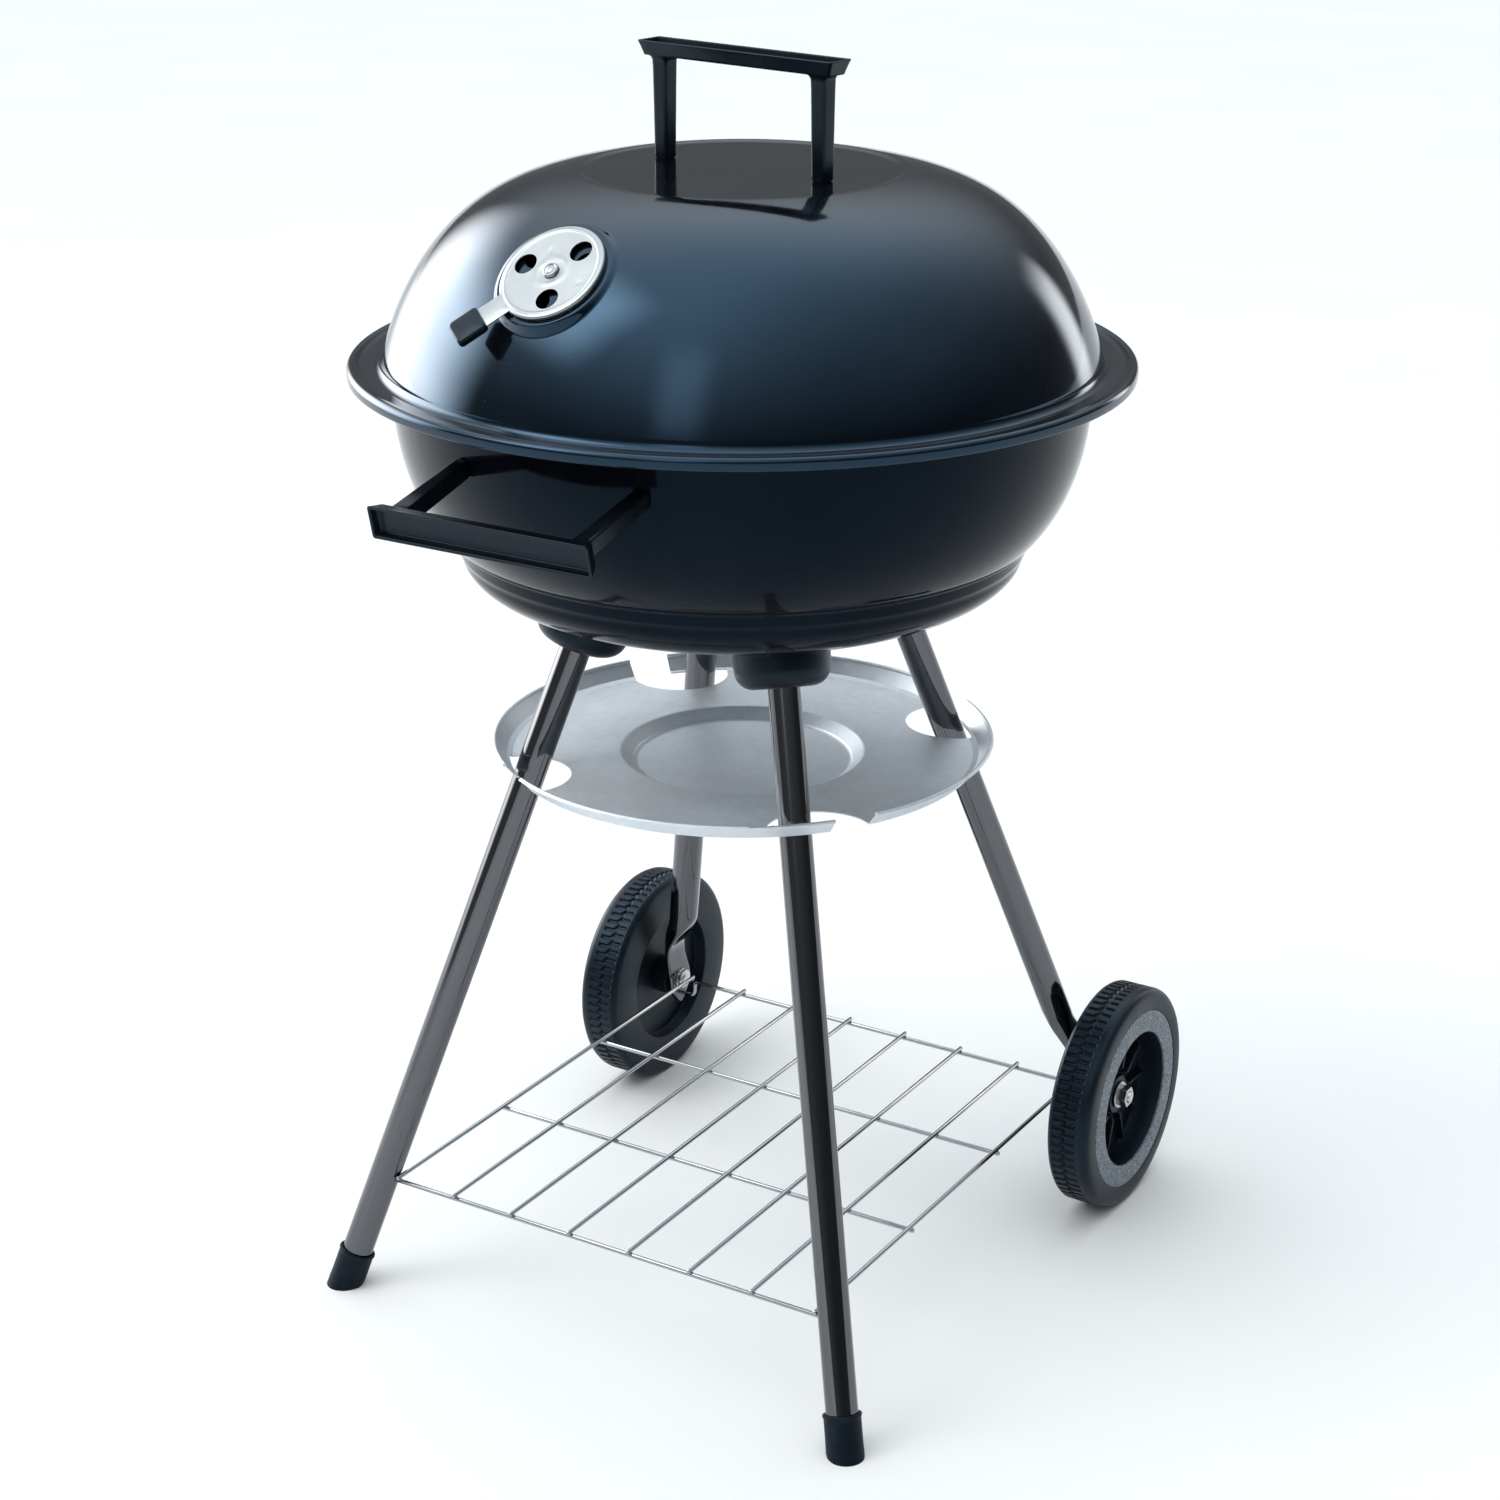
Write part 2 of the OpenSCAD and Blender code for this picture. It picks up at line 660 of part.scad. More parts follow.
module front_leg() {
    length = norm(front_top - front_foot);
    color("#c3c6ca") at_kettle() difference() {
        along(front_foot, front_top) difference() {
            translate([0, 0, tube_end]) cylinder(h = length - leg_in - tube_end, r = tube_r, $fn = 64);
            cylinder(h = length + 1, r = tube_r - tube_t, $fn = 64);
        }
        translate([shelf_front[0], shelf_front[1], shelf_z]) rotate([0, -90, 0])
            cylinder(h = 2 * tube_r, r = wire_r + 0.4, $fn = 24);
    }
}

// Outline of a rear leg's flat end, seen from the side, about the axle
module tab_outline(lean_y) {
    polygon([[lean_y * tab_up - tube_r, tab_up], [lean_y * tab_up + tube_r, tab_up],
        [tab_w / 2, 5], [tab_w / 2, -6], [2, -tab_down], [-4, -tab_down], [-tab_w / 2, -6], [-tab_w / 2, 5]]);
}

hook_drop = 11;     // the shelf hooks into the leg this far below the axle
press_up = 34;      // height over which the round tube is pressed to the flat
swell = 0.1;        // the pressed part stands this far out from the tube and in from the flat

module rear_leg() {
    d = rear_top - axle;
    start = (tab_up + press_up) / cos(lean(axle, rear_top));
    length = norm(d);
    lean_y = d[1] / d[2];
    color("#c3c6ca") at_kettle() {
        along(axle, rear_top) difference() {
            translate([0, 0, start]) cylinder(h = length - leg_in - start, r = tube_r, $fn = 64);
            translate([0, 0, start + 6]) cylinder(h = length, r = tube_r - tube_t, $fn = 64);
        }
        hull() {
            along(axle, rear_top) translate([0, 0, start]) cylinder(h = 2, r = tube_r + swell, $fn = 32);
            translate([axle[0] - tab_t / 2 + swell, axle[1] + lean_y * tab_up - tube_r + swell, axle[2] + tab_up - 1])
                cube([tab_t - 2 * swell, 2 * (tube_r - swell), 1]);
        }
        translate([axle[0] - tab_t / 2, axle[1], axle[2]]) rotate([90, 0, 90])
            linear_extrude(tab_t) difference() {
                tab_outline(lean_y);
                circle(r = axle_r + fit, $fn = 48);
                translate([0, -hook_drop]) circle(r = wire_r + 0.4, $fn = 24);
            }
    }
}

module front_leg_right() { side(1) front_leg(); }
module front_leg_left() { side(-1) front_leg(); }
module rear_leg_right() { side(1) rear_leg(); }
module rear_leg_left() { side(-1) rear_leg(); }

module foot_cap() {
    color("#1b1c1e") at_kettle() difference() {
        along(front_foot, front_top) rotate(90) difference() {
            translate([0, 0, -12]) cylinder(h = cap_h + 12, r = tube_r + cap_t, $fn = 64);
            translate([0, 0, tube_end - 0.3]) cylinder(h = cap_h, r = tube_r + fit, $fn = 64);
        }
        translate([front_foot[0] - 60, front_foot[1] - 60, -60]) cube([120, 120, 60]);
    }
}

module foot_cap_right() { side(1) foot_cap(); }
module foot_cap_left() { side(-1) foot_cap(); }

// ---- ash catcher ----

ash_z = floor_z - ash_drop;
function leg_slice(a, b) = level_r(at_z(a, b, ash_z)) + (tube_r + 0.2) / cos(lean(a, b));
hook_in_r = max(leg_slice(front_foot, front_top), leg_slice(axle, rear_top)) + 0.4;
ash_r = hook_in_r + ash_band_w;
bead_r = 1.2;
gate_from = 7;      // the way in past a leg starts this far round from it, in degrees
gate_to = 17;
notch_round = 4.7;  // the notch's middle is this far round from the leg

dish_bend = 4;      // radius of the dish's two bends
dish_slope_w = 12;  // width of the dish's sloping side
function ash_path() = concat(
    [[0, ash_z - dish_h], [dish_r + 1 - dish_slope_w, ash_z - dish_h]],
    arc(dish_r + 1 - dish_slope_w, ash_z - dish_h + dish_bend, dish_bend, -84, -35, 6),
    arc(dish_r + 1, ash_z - dish_bend, dish_bend, 130, 90, 6),
    [[hook_in_r - 2, ash_z], [hook_in_r + 1.5, ash_z + 1.2], [ash_r - 1.8, ash_z + ash_lip_h - 1],
        [ash_r, ash_z + ash_lip_h]]);

module ash_catcher() {
    leg_angles = [for (p = [at_z(front_foot, front_top, ash_z), at_z(axle, rear_top, ash_z)])
        atan2(p[1], p[0])];
    turns = [leg_angles[0], leg_angles[1], 180 - leg_angles[1], 180 - leg_angles[0]];
    color("#c9cdd2") at_kettle() difference() {
        union() {
            shell(ash_path(), plate_t);
            translate([0, 0, ash_z + ash_lip_h - bead_r / 2]) ring(ash_r - bead_r, bead_r);
        }
        for (a = turns) {
            intersection() {
                rotate(a + notch_round) translate([hook_in_r - 1.6, 0, ash_z - 20])
                    cylinder(h = 60, r = notch_r);
                translate([0, 0, ash_z - 20]) cylinder(h = 60, r = hook_in_r, $fn = 180);
            }
            translate([0, 0, ash_z - 20]) linear_extrude(60) polygon([
                [0.9 * hook_in_r * cos(a + gate_from), 0.9 * hook_in_r * sin(a + gate_from)],
                [1.3 * ash_r * cos(a + gate_from), 1.3 * ash_r * sin(a + gate_from)],
                [1.3 * ash_r * cos(a + gate_to), 1.3 * ash_r * sin(a + gate_to)],
                [0.9 * hook_in_r * cos(a + gate_to), 0.9 * hook_in_r * sin(a + gate_to)]]);
        }
    }
}

// ---- shelf ----

module wire_x(half, y, z) {
    translate([-half, y, z]) rotate([0, 90, 0]) cylinder(h = 2 * half, r = wire_r, $fn = 24);
}

bolt_gap = 0.5;     // between an outer wire and the head of an axle's bolt
module wire_shelf() {
    y0 = shelf_front[1];
    y1 = axle_y + 1.7;
    by_legs = shelf_front[0] - tube_r / front_cos - shelf_gap - wire_r;
    by_bolts = axle[0] - tab_t / 2 - seat - bolt_head_t - bolt_gap - wire_r;
    half = min(by_legs, by_bolts);
    hook_x = min(half - 3, axle[0] - tab_t / 2 - 6);
    hook_z = axle[2] - hook_drop;
    top_z = shelf_z + 1.7 * wire_r;
    color("#cfd2d6") at_kettle() {
        wire_x(shelf_front[0] - tube_r + 2, y0, shelf_z);
        for (k = [1:2]) wire_x(half + 1.5, y0 + (y1 - y0) * k / 3, shelf_z);
        wire_x(hook_x, y1, shelf_z);
        for (i = [0:long_wires - 1])
            translate([-half + 2 * half * i / (long_wires - 1), y0 - 2, top_z])
                rotate([-90, 0, 0]) cylinder(h = y1 - y0 + 4, r = wire_r, $fn = 24);
        for (s = [-1, 1]) {
            knuckle([s * hook_x, y1, shelf_z], wire_r + weld);
            rod([s * hook_x, y1, shelf_z], [s * hook_x, axle_y, hook_z], wire_r);
            knuckle([s * hook_x, axle_y, hook_z], wire_r + weld);
            translate([s * hook_x, axle_y, hook_z]) rotate([0, 90 * s, 0])
                cylinder(h = axle[0] + tab_t / 2 + 1.2 - hook_x, r = wire_r, $fn = 24);
        }
    }
}

// ---- wheels, each made on the right along +X and mirrored to the left ----

trim_r = wheel_r - trim_in;
hub_recess_r = trim_r - trim_w;
washer_t = 1.5;
washer_r = 9;
hub_r = 13;
hub_in = wheel_x - (axle[0] + tab_t / 2) - washer_t - 0.6;
hub_out = 17;       // the hub ends this far in from the tyre's inner face
web_from = 9;
web_t = 3;
nut_r = 7;
nut_h = 6;
trim_t = 1.6;
trim_sink = 1.3;
ribs = 10;
bolt_head_t = 3.4;

module at_axle() {
    translate([0, axle_y, wheel_r]) rotate([0, 90, 0]) children();
}

module axle_bolt() {
    color("#c9ccd1") at_kettle() at_axle() {
        translate([0, 0, axle[0] - tab_t / 2 - seat - bolt_head_t]) cylinder(h = bolt_head_t, r = 7);
        translate([0, 0, axle[0] - tab_t / 2 - seat - 0.5])
            cylinder(h = wheel_x + hub_out + nut_h + washer_t - axle[0] + tab_t / 2 + 2.5, r = axle_r, $fn = 64);
    }
}

module washer(x) {
    translate([0, 0, x]) difference() {
        cylinder(h = washer_t, r = washer_r);
        translate([0, 0, -1]) cylinder(h = washer_t + 2, r = axle_r + fit, $fn = 64);
    }
}

module axle_washers() {
    color("#c9ccd1") at_kettle() for (s = [-1, 1]) side(s) at_axle() {
        washer(axle[0] + tab_t / 2 + seat);
        washer(wheel_x + hub_out + 0.4);
    }
}

module axle_nuts() {
    color("#d5d8dc") at_kettle() for (s = [-1, 1]) side(s) at_axle()
        translate([0, 0, wheel_x + hub_out + 0.4 + washer_t + seat]) difference() {
            cylinder(h = nut_h, r = nut_r, $fn = 6);
            translate([0, 0, -1]) cylinder(h = nut_h + 2, r = axle_r + fit, $fn = 64);
        }
}

module wheel() {
    groove = 1.4;
    color("#1a1b1d") at_kettle() at_axle() translate([0, 0, wheel_x]) difference() {
        union() {
            rotate_extrude($fn = 144) polygon([
                [axle_r + fit, -hub_in], [hub_r, -hub_in], [hub_r, web_from], [hub_recess_r, web_from],
                [hub_recess_r, 0], [wheel_r - 4, 0], [wheel_r - 1, 1], [wheel_r, 3.5],
                [wheel_r, wheel_w / 2 - 1.5 - groove], [wheel_r - groove, wheel_w / 2 - 1.5],
                [wheel_r, wheel_w / 2 - 1.5 + groove], [wheel_r, wheel_w - 5.5], [wheel_r - 1, wheel_w - 2.5],
                [wheel_r - 3.5, wheel_w - 0.5], [wheel_r - 6, wheel_w], [trim_r, wheel_w],
                [trim_r, wheel_w - trim_sink], [hub_recess_r, wheel_w - trim_sink],
                [hub_recess_r, web_from + web_t], [hub_r, web_from + web_t], [hub_r, hub_out],
                [axle_r + fit, hub_out]]);
            for (k = [0:ribs - 1]) rotate(360 * k / ribs)
                translate([hub_r - 1, -1.1, web_from + web_t - 0.5]) cube([hub_recess_r - hub_r + 1.5, 2.2, 5.5]);
        }
        translate([0, 0, -hub_in - 1]) cylinder(h = hub_in + hub_out + 2, r = axle_r + fit, $fn = 64);
    }
}

module wheel_trim() {
    color("#9aa0a8") at_kettle() at_axle() translate([0, 0, wheel_x + wheel_w - trim_sink + 0.05])
        difference() {
            cylinder(h = trim_t - 0.4, r = trim_r - seat, $fn = 144);
            translate([0, 0, -1]) cylinder(h = trim_t + 2, r = hub_recess_r + 0.2, $fn = 144);
        }
}

module axle_bolt_right() { side(1) axle_bolt(); }
module axle_bolt_left() { side(-1) axle_bolt(); }
module wheel_right() { side(1) wheel(); }
module wheel_left() { side(-1) wheel(); }
module wheel_trim_right() { side(1) wheel_trim(); }
module wheel_trim_left() { side(-1) wheel_trim(); }

lid_shell();
lid_handle();
lid_handle_screws();
lid_vent_rivet();
lid_vent_damper();
lid_vent_grip();
bowl_shell();
bowl_handle();
bowl_handle_screws();
grate_brackets();
cooking_grate();
charcoal_grate();
bowl_vent_damper();
bowl_vent_rivet();
leg_socket_front_left();
leg_socket_front_right();
leg_socket_rear_left();
leg_socket_rear_right();
socket_bolts();
front_leg_left();
front_leg_right();
rear_leg_left();
rear_leg_right();
foot_cap_left();
foot_cap_right();
ash_catcher();
wire_shelf();
axle_bolt_left();
axle_bolt_right();
axle_washers();
axle_nuts();
wheel_left();
wheel_right();
wheel_trim_left();
wheel_trim_right();
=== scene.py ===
"""Looks of the kettle charcoal grill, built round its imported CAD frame.

Shapes are worked out in millimetres with the kettle's axis at x = y = 0, then moved to the frame and made metres.
"""

import math

import bpy
import numpy as np
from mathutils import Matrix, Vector
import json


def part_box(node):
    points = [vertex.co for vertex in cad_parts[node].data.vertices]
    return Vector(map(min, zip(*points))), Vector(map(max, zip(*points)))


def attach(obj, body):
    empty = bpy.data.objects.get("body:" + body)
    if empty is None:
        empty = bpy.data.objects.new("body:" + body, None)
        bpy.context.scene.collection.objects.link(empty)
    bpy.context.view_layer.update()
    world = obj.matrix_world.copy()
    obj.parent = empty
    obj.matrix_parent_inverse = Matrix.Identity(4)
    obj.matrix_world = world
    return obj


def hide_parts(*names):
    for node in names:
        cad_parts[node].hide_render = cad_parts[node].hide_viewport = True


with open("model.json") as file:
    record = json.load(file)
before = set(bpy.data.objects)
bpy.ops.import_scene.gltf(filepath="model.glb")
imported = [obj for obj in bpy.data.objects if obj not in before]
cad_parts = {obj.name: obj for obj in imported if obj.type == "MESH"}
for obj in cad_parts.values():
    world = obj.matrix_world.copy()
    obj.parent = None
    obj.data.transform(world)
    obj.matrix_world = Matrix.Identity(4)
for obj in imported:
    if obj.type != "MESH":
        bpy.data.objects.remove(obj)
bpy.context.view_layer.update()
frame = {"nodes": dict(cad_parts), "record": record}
bowl_lo, bowl_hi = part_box("bowl_shell")
KETTLE_Y = (bowl_lo.y + bowl_hi.y) * 500.0  # the kettle's axis lies this far behind the origin, in millimetres

SHEET = 1.2
MOUTH = 577.5
FLOOR = 438.5
LID_TURN = math.radians(-8.0)
RIM_R = 228.0
POST_X = 57.65
ENAMEL_GAP = 0.4
WHEEL_R = 73.5
WHEEL_X = 165.6
AXLE = np.array([WHEEL_X - 6.5, 172.0, WHEEL_R])
REAR_TOP = np.array([64.064, 64.064, FLOOR])
FRONT_FOOT = np.array([181.0, -183.0, 0.0])
FRONT_TOP = np.array([64.064, -64.064, FLOOR])
SHELF_Z = 72.0
WIRE_R = 1.4
TUBE_R = 9.5
LEDGE_Z = 478.0


# ---- arrays ----


def smooth(x):
    """0 below 0, 1 above 1, and 3x^2 - 2x^3 between."""
    x = np.clip(x, 0, 1)
    return x * x * (3 - 2 * x)


def unit(v):
    return v / np.linalg.norm(v, axis=-1, keepdims=True)


def arc(cx, cz, r, a0, a1, n):
    """n + 1 points of a circle about (cx, cz) from angle a0 to a1, in degrees."""
    a = np.radians(np.linspace(a0, a1, n + 1))
    return np.stack([cx + r * np.cos(a), cz + r * np.sin(a)], 1)


def grid_faces(nu, nv, loop_u=False, loop_v=False):
    """Quads of an nu by nv grid of points, point (i, j) being number i * nv + j."""
    i = np.arange(nu if loop_u else nu - 1)[:, None]
    j = np.arange(nv if loop_v else nv - 1)[None, :]
    i2, j2 = (i + 1) % nu, (j + 1) % nv
    return np.stack([i * nv + j, i2 * nv + j, i2 * nv + j2, i * nv + j2], -1).reshape(-1, 4)


def lathe(profile, n):
    """A profile of (r, z) turned about Z: point (a, k) is (r_k cos a, r_k sin a, z_k), with n angles."""
    a = np.linspace(0, 2 * np.pi, n, endpoint=False)[:, None]
    r, z = profile[:, 0][None], profile[:, 1][None]
    v = np.stack([r * np.cos(a), r * np.sin(a), z + 0 * a], -1)
    return v.reshape(-1, 3), grid_faces(n, len(profile), loop_u=True)


def thicken(path, t, end_n=4):
    """A path of (r, z) walked out and back, the way back lying t to its right, with a round end."""
    d = unit(np.gradient(path, axis=0))
    right = np.stack([d[:, 1], -d[:, 0]], 1)
    inner = path + right * t
    a = np.linspace(0, np.pi, end_n + 2)[1:-1, None]
    mid, e, r = (path[-1] + inner[-1]) / 2, d[-1], t / 2
    tip = mid - right[-1] * r * np.cos(a) + e * r * np.sin(a)
    back = inner[::-1].copy()
    back[:, 0] = np.maximum(back[:, 0], 0)
    return np.concatenate([path, tip, back])


def frames(path, up):
    """At each point of a path: the side and the upward unit vectors square to the path."""
    t = unit(np.gradient(path, axis=0))
    side = unit(np.cross(t, np.broadcast_to(up, t.shape)))
    return side, np.cross(side, t), t


def tube(path, radius, up=(0, 0, 1), n=16, loop=False):
    """A circle carried along a path: point (i, a) is p_i + r (side_i cos a + up_i sin a), with round ends."""
    path = np.asarray(path, float)
    if loop:
        t = unit(np.roll(path, -1, 0) - np.roll(path, 1, 0))
        side = unit(np.cross(t, np.broadcast_to(up, t.shape)))
        above, r = np.cross(side, t), np.full(len(path), radius)
    else:
        side, above, t = frames(path, np.asarray(up, float))
        s = np.sin(np.linspace(0, np.pi / 2, 4))[1:]
        c = np.cos(np.linspace(0, np.pi / 2, 4))[1:]
        c[-1] = 0
        pre = path[0] - t[0] * radius * s[::-1, None] * 0.6
        post = path[-1] + t[-1] * radius * s[:, None] * 0.6
        r = np.concatenate([radius * c[::-1], np.full(len(path), radius), radius * c])
        path = np.concatenate([pre, path, post])
        side = np.concatenate([np.repeat(side[:1], 3, 0), side, np.repeat(side[-1:], 3, 0)])
        above = np.concatenate([np.repeat(above[:1], 3, 0), above, np.repeat(above[-1:], 3, 0)])
    a = np.linspace(0, 2 * np.pi, n, endpoint=False)
    v = path[:, None] + r[:, None, None] * (side[:, None] * np.cos(a)[:, None] + above[:, None] * np.sin(a)[:, None])
    return v.reshape(-1, 3), grid_faces(len(path), n, loop_u=loop, loop_v=True)


def ring_line(r, z, n=240):
    a = np.linspace(0, 2 * np.pi, n, endpoint=False)
    return np.stack([r * np.cos(a), r * np.sin(a), z + 0 * a], 1)


def line(a, b, n=2):
    t = np.linspace(0, 1, n)[:, None]
    return np.asarray(a, float) * (1 - t) + np.asarray(b, float) * t


def bend(points, radius, n=6):
    """Straight runs through the points. Each inner corner is rounded by a quadratic curve, from radius before it to
    radius after it."""
    p = [np.asarray(q, float) for q in points]
    out = [p[0][None]]
    t = np.linspace(0, 1, n + 1)[:, None]
    for a, b, c in zip(p[:-2], p[1:-1], p[2:]):
        s, e = b + unit(a - b) * radius, b + unit(c - b) * radius
        out.append((1 - t) ** 2 * s + 2 * t * (1 - t) * b + t**2 * e)
    out.append(p[-1][None])
    return np.concatenate(out)


def block_ring(per_corner=5, per_side=10):
    """Signs and angles of a rounded rectangle's outline, one row a point: the corner's centre is at sign times the
    half size less the corner radius, and the point lies one corner radius from it at the angle."""
    rows = []
    for k, (sx, sy) in enumerate([(1, 1), (-1, 1), (-1, -1), (1, -1)]):
        a = np.linspace(k * 90, k * 90 + 90, per_corner + 1)
        rows.append(np.stack([np.full_like(a, sx), np.full_like(a, sy), a], 1))
        nx, ny = [(-1, 1), (-1, -1), (1, -1), (1, 1)][k]
        t = np.linspace(0, 1, per_side + 1)[1:-1]
        rows.append(np.stack([sx + (nx - sx) * t, sy + (ny - sy) * t, np.full_like(t, k * 90 + 90)], 1))
    return np.concatenate(rows)


def stack(levels, per_corner=5, per_side=10):
    """Rounded rectangles one above the other. Each level is (half x, half y, corner radius, z); the outline at a
    level is sign * (half - corner) + corner * (cos, sin)."""
    ring, lv = block_ring(per_corner, per_side), np.asarray(levels, float)
    a = np.radians(ring[:, 2])[None]
    hx, hy, rc, z = (lv[:, k : k + 1] for k in range(4))
    rc = np.minimum(rc, np.minimum(hx, hy))
    x = ring[:, 0][None] * (hx - rc) + rc * np.cos(a)
    y = ring[:, 1][None] * (hy - rc) + rc * np.sin(a)
    v = np.stack([x, y, z + 0 * a], -1)
    return v.reshape(-1, 3), grid_faces(len(lv), len(ring), loop_v=True)


def slab(hx, hy, corner, z0, z1, edge, middle=0.0):
    """A flat block from z0 to z1 with rounded upright corners and edges rounded by a quarter circle."""
    turn = [(edge * (1 - math.sin(a)), edge * (1 - math.cos(a))) for a in np.radians(np.linspace(0, 90, 5))]
    low = [(hx - near, hy - near, corner, z0 + far) for near, far in turn]
    high = [(hx - far, hy - far, corner, z1 - near) for near, far in turn]
    core = max(hx - hy, 0)
    return stack([(core, 0, 0, z0)] + low + high + [(core, 0, 0, z1 + middle)])


def placed(part, origin, x, y, z):
    """The part with its axes along x, y and z, at origin."""
    v, f = part
    return v @ np.array([x, y, z], float) + np.asarray(origin, float), f


def turned(part, angle):
    c, s = math.cos(angle), math.sin(angle)
    return placed(part, (0, 0, 0), (c, s, 0), (-s, c, 0), (0, 0, 1))


def mirrored(part):
    v, f = part
    return v * np.array([-1.0, 1, 1]), f[:, ::-1]


def outward(part):
    """The part with its faces turned round if they enclose a negative volume."""
    v, f = part
    p = v - v.mean(0)
    a, b, c, d = (p[f[:, k]] for k in range(4))
    volume = np.einsum("ij,ij->i", a, np.cross(b, c)).sum() + np.einsum("ij,ij->i", a, np.cross(c, d)).sum()
    return part if volume > 0 else (v, f[:, ::-1])


def frame_of(low, high):
    """Unit axes with z from low to high and x level."""
    z = unit(np.asarray(high, float) - np.asarray(low, float))
    x = unit(np.cross((0, 0, 1.0), z))
    return x, np.cross(z, x), z


# ---- meshes ----


def piece(name, parts, material, body, replaces=(), grain=None, sharp=40):
    """Joins parts of (points, quads) into one object: points closer than a thousandth of a millimetre are one point,
    so seams and poles close, and a quad with two corners in one becomes a triangle."""
    vs, fs, at = [], [], 0
    for v, f in parts:
        vs.append(v)
        fs.append(f + at)
        at += len(v)
    v, f = np.concatenate(vs), np.concatenate(fs)
    key = np.round(v / 1e-3).astype(np.int64)
    _, first, back = np.unique(key, axis=0, return_index=True, return_inverse=True)
    back = back.reshape(-1)
    g = None if grain is None else np.concatenate(grain)[first]
    v, f = v[first], back[f]
    same = f == np.roll(f, -1, 1)
    count = same.sum(1)
    quads = f[count == 0]
    tris, where = f[count == 1], same[count == 1].argmax(1)
    tri = np.stack([tris[np.arange(len(tris)), (where + k) % 4] for k in (1, 2, 3)], 1)
    v = (v + np.array([0, KETTLE_Y, 0])) * 0.001
    mesh = bpy.data.meshes.new(name)
    mesh.from_pydata(v.tolist(), [], quads.tolist() + tri.tolist())
    mesh.validate()
    mesh.polygons.foreach_set("use_smooth", np.ones(len(mesh.polygons), bool))
    if g is not None:
        mesh.attributes.new("grain", "FLOAT_VECTOR", "POINT").data.foreach_set("vector", g.astype(np.float32).ravel())
    mesh.set_sharp_from_angle(angle=math.radians(sharp))
    mesh.materials.append(material)
    obj = bpy.data.objects.new(name, mesh)
    bpy.context.scene.collection.objects.link(obj)
    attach(obj, body)
    if replaces:
        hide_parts(*replaces)
    return obj


# ---- finishes ----


class Value:
    """A shader number, so that an expression on it adds its Math nodes."""

    def __init__(self, finish, socket):
        self.finish, self.socket = finish, socket

    def sum(self, op, a, b):
        return self.finish.value("ShaderNodeMath", {"operation": op}, {0: a, 1: b})

    def __add__(self, o):
        return self.sum("ADD", self, o)

    def __mul__(self, o):
        return self.sum("MULTIPLY", self, o)

    __radd__, __rmul__ = __add__, __mul__


class Finish:
    """A material and the nodes that make it."""

    def __init__(self, name):
        self.material = bpy.data.materials.new(name)
        self.material.use_nodes = True
        self.tree = self.material.node_tree
        self.tree.nodes.clear()

    def node(self, kind, settings=None, inputs=None):
        n = self.tree.nodes.new(kind)
        for k, v in (settings or {}).items():
            setattr(n, k, v)
        for k, v in (inputs or {}).items():
            s = v.socket if isinstance(v, Value) else v
            if isinstance(s, bpy.types.NodeSocket):
                self.tree.links.new(s, n.inputs[k])
            else:
                n.inputs[k].default_value = s
        return n

    def value(self, kind, settings=None, inputs=None, out=0):
        return Value(self, self.node(kind, settings, inputs).outputs[out])

    def place(self):
        return self.node("ShaderNodeTexCoord").outputs["Object"]

    def grain(self):
        return self.node("ShaderNodeAttribute", {"attribute_name": "grain"}).outputs["Vector"]

    def noise(self, at, scale, detail=2.0, roughness=0.5):
        inputs = {"Vector": at, "Scale": scale, "Detail": detail, "Roughness": roughness}
        return self.value("ShaderNodeTexNoise", None, inputs)

    def fit(self, v, low, high, to_low=0.0, to_high=1.0):
        """v from low..high to to_low..to_high, along a smooth step, held at the ends."""
        inputs = {"Value": v, "From Min": low, "From Max": high, "To Min": to_low, "To Max": to_high}
        return self.value("ShaderNodeMapRange", {"interpolation_type": "SMOOTHSTEP"}, inputs)

    def blend(self, factor, a, b):
        n = self.node("ShaderNodeMix", {"data_type": "RGBA"})
        self.tree.links.new(factor.socket, n.inputs["Factor"])
        for k, v in ((6, a), (7, b)):
            if isinstance(v, bpy.types.NodeSocket):
                self.tree.links.new(v, n.inputs[k])
            else:
                n.inputs[k].default_value = (*v, 1)
        return n.outputs[2]

    def bump(self, height, strength, distance, normal=None):
        inputs = {"Height": height, "Strength": strength, "Distance": distance}
        if normal is not None:
            inputs["Normal"] = normal
        return self.node("ShaderNodeBump", None, inputs).outputs[0]

    def surface(self, **inputs):
        s = self.node("ShaderNodeBsdfPrincipled", None, {k.replace("_", " "): v for k, v in inputs.items()})
        self.node("ShaderNodeOutputMaterial", None, {"Surface": s.outputs[0]})
        return self.material


def enamel(name, shine):
    """Fired black enamel: glossy, with the fine ripple of orange peel, faint smudges and a few specks of dust. Its
    base colour and its reflections carry a painted blue cast, standing in for the blue sky that the enamel reflects."""
    f = Finish(name)
    at = f.place()
    smudge = f.fit(f.noise(at, 9.0, 4.0, 0.6), 0.42, 0.68)
    peel = f.noise(at, 420.0, 2.0) * 0.6 + f.noise(at, 1500.0, 1.0) * 0.4
    speck = f.fit(f.noise(at, 620.0, 1.0), 0.74, 0.80)
    # painted sky reflection: the base colour leans blue, standing in for the blue sky that the enamel reflects
    base = f.blend(smudge * 0.5 + speck * 0.5, (0.0018, 0.0026, 0.0044), (0.006, 0.008, 0.0115))
    # painted sky reflection: the blue specular tint colours every reflection blue, standing in for a reflected blue
    # sky
    return f.surface(Base_Color=base, Roughness=smudge * 0.07 + speck * 0.25 + 0.06,
                     Normal=f.bump(peel, 0.16, 0.00006), Specular_IOR_Level=shine, Specular_Tint=(0.33, 0.64, 1, 1))


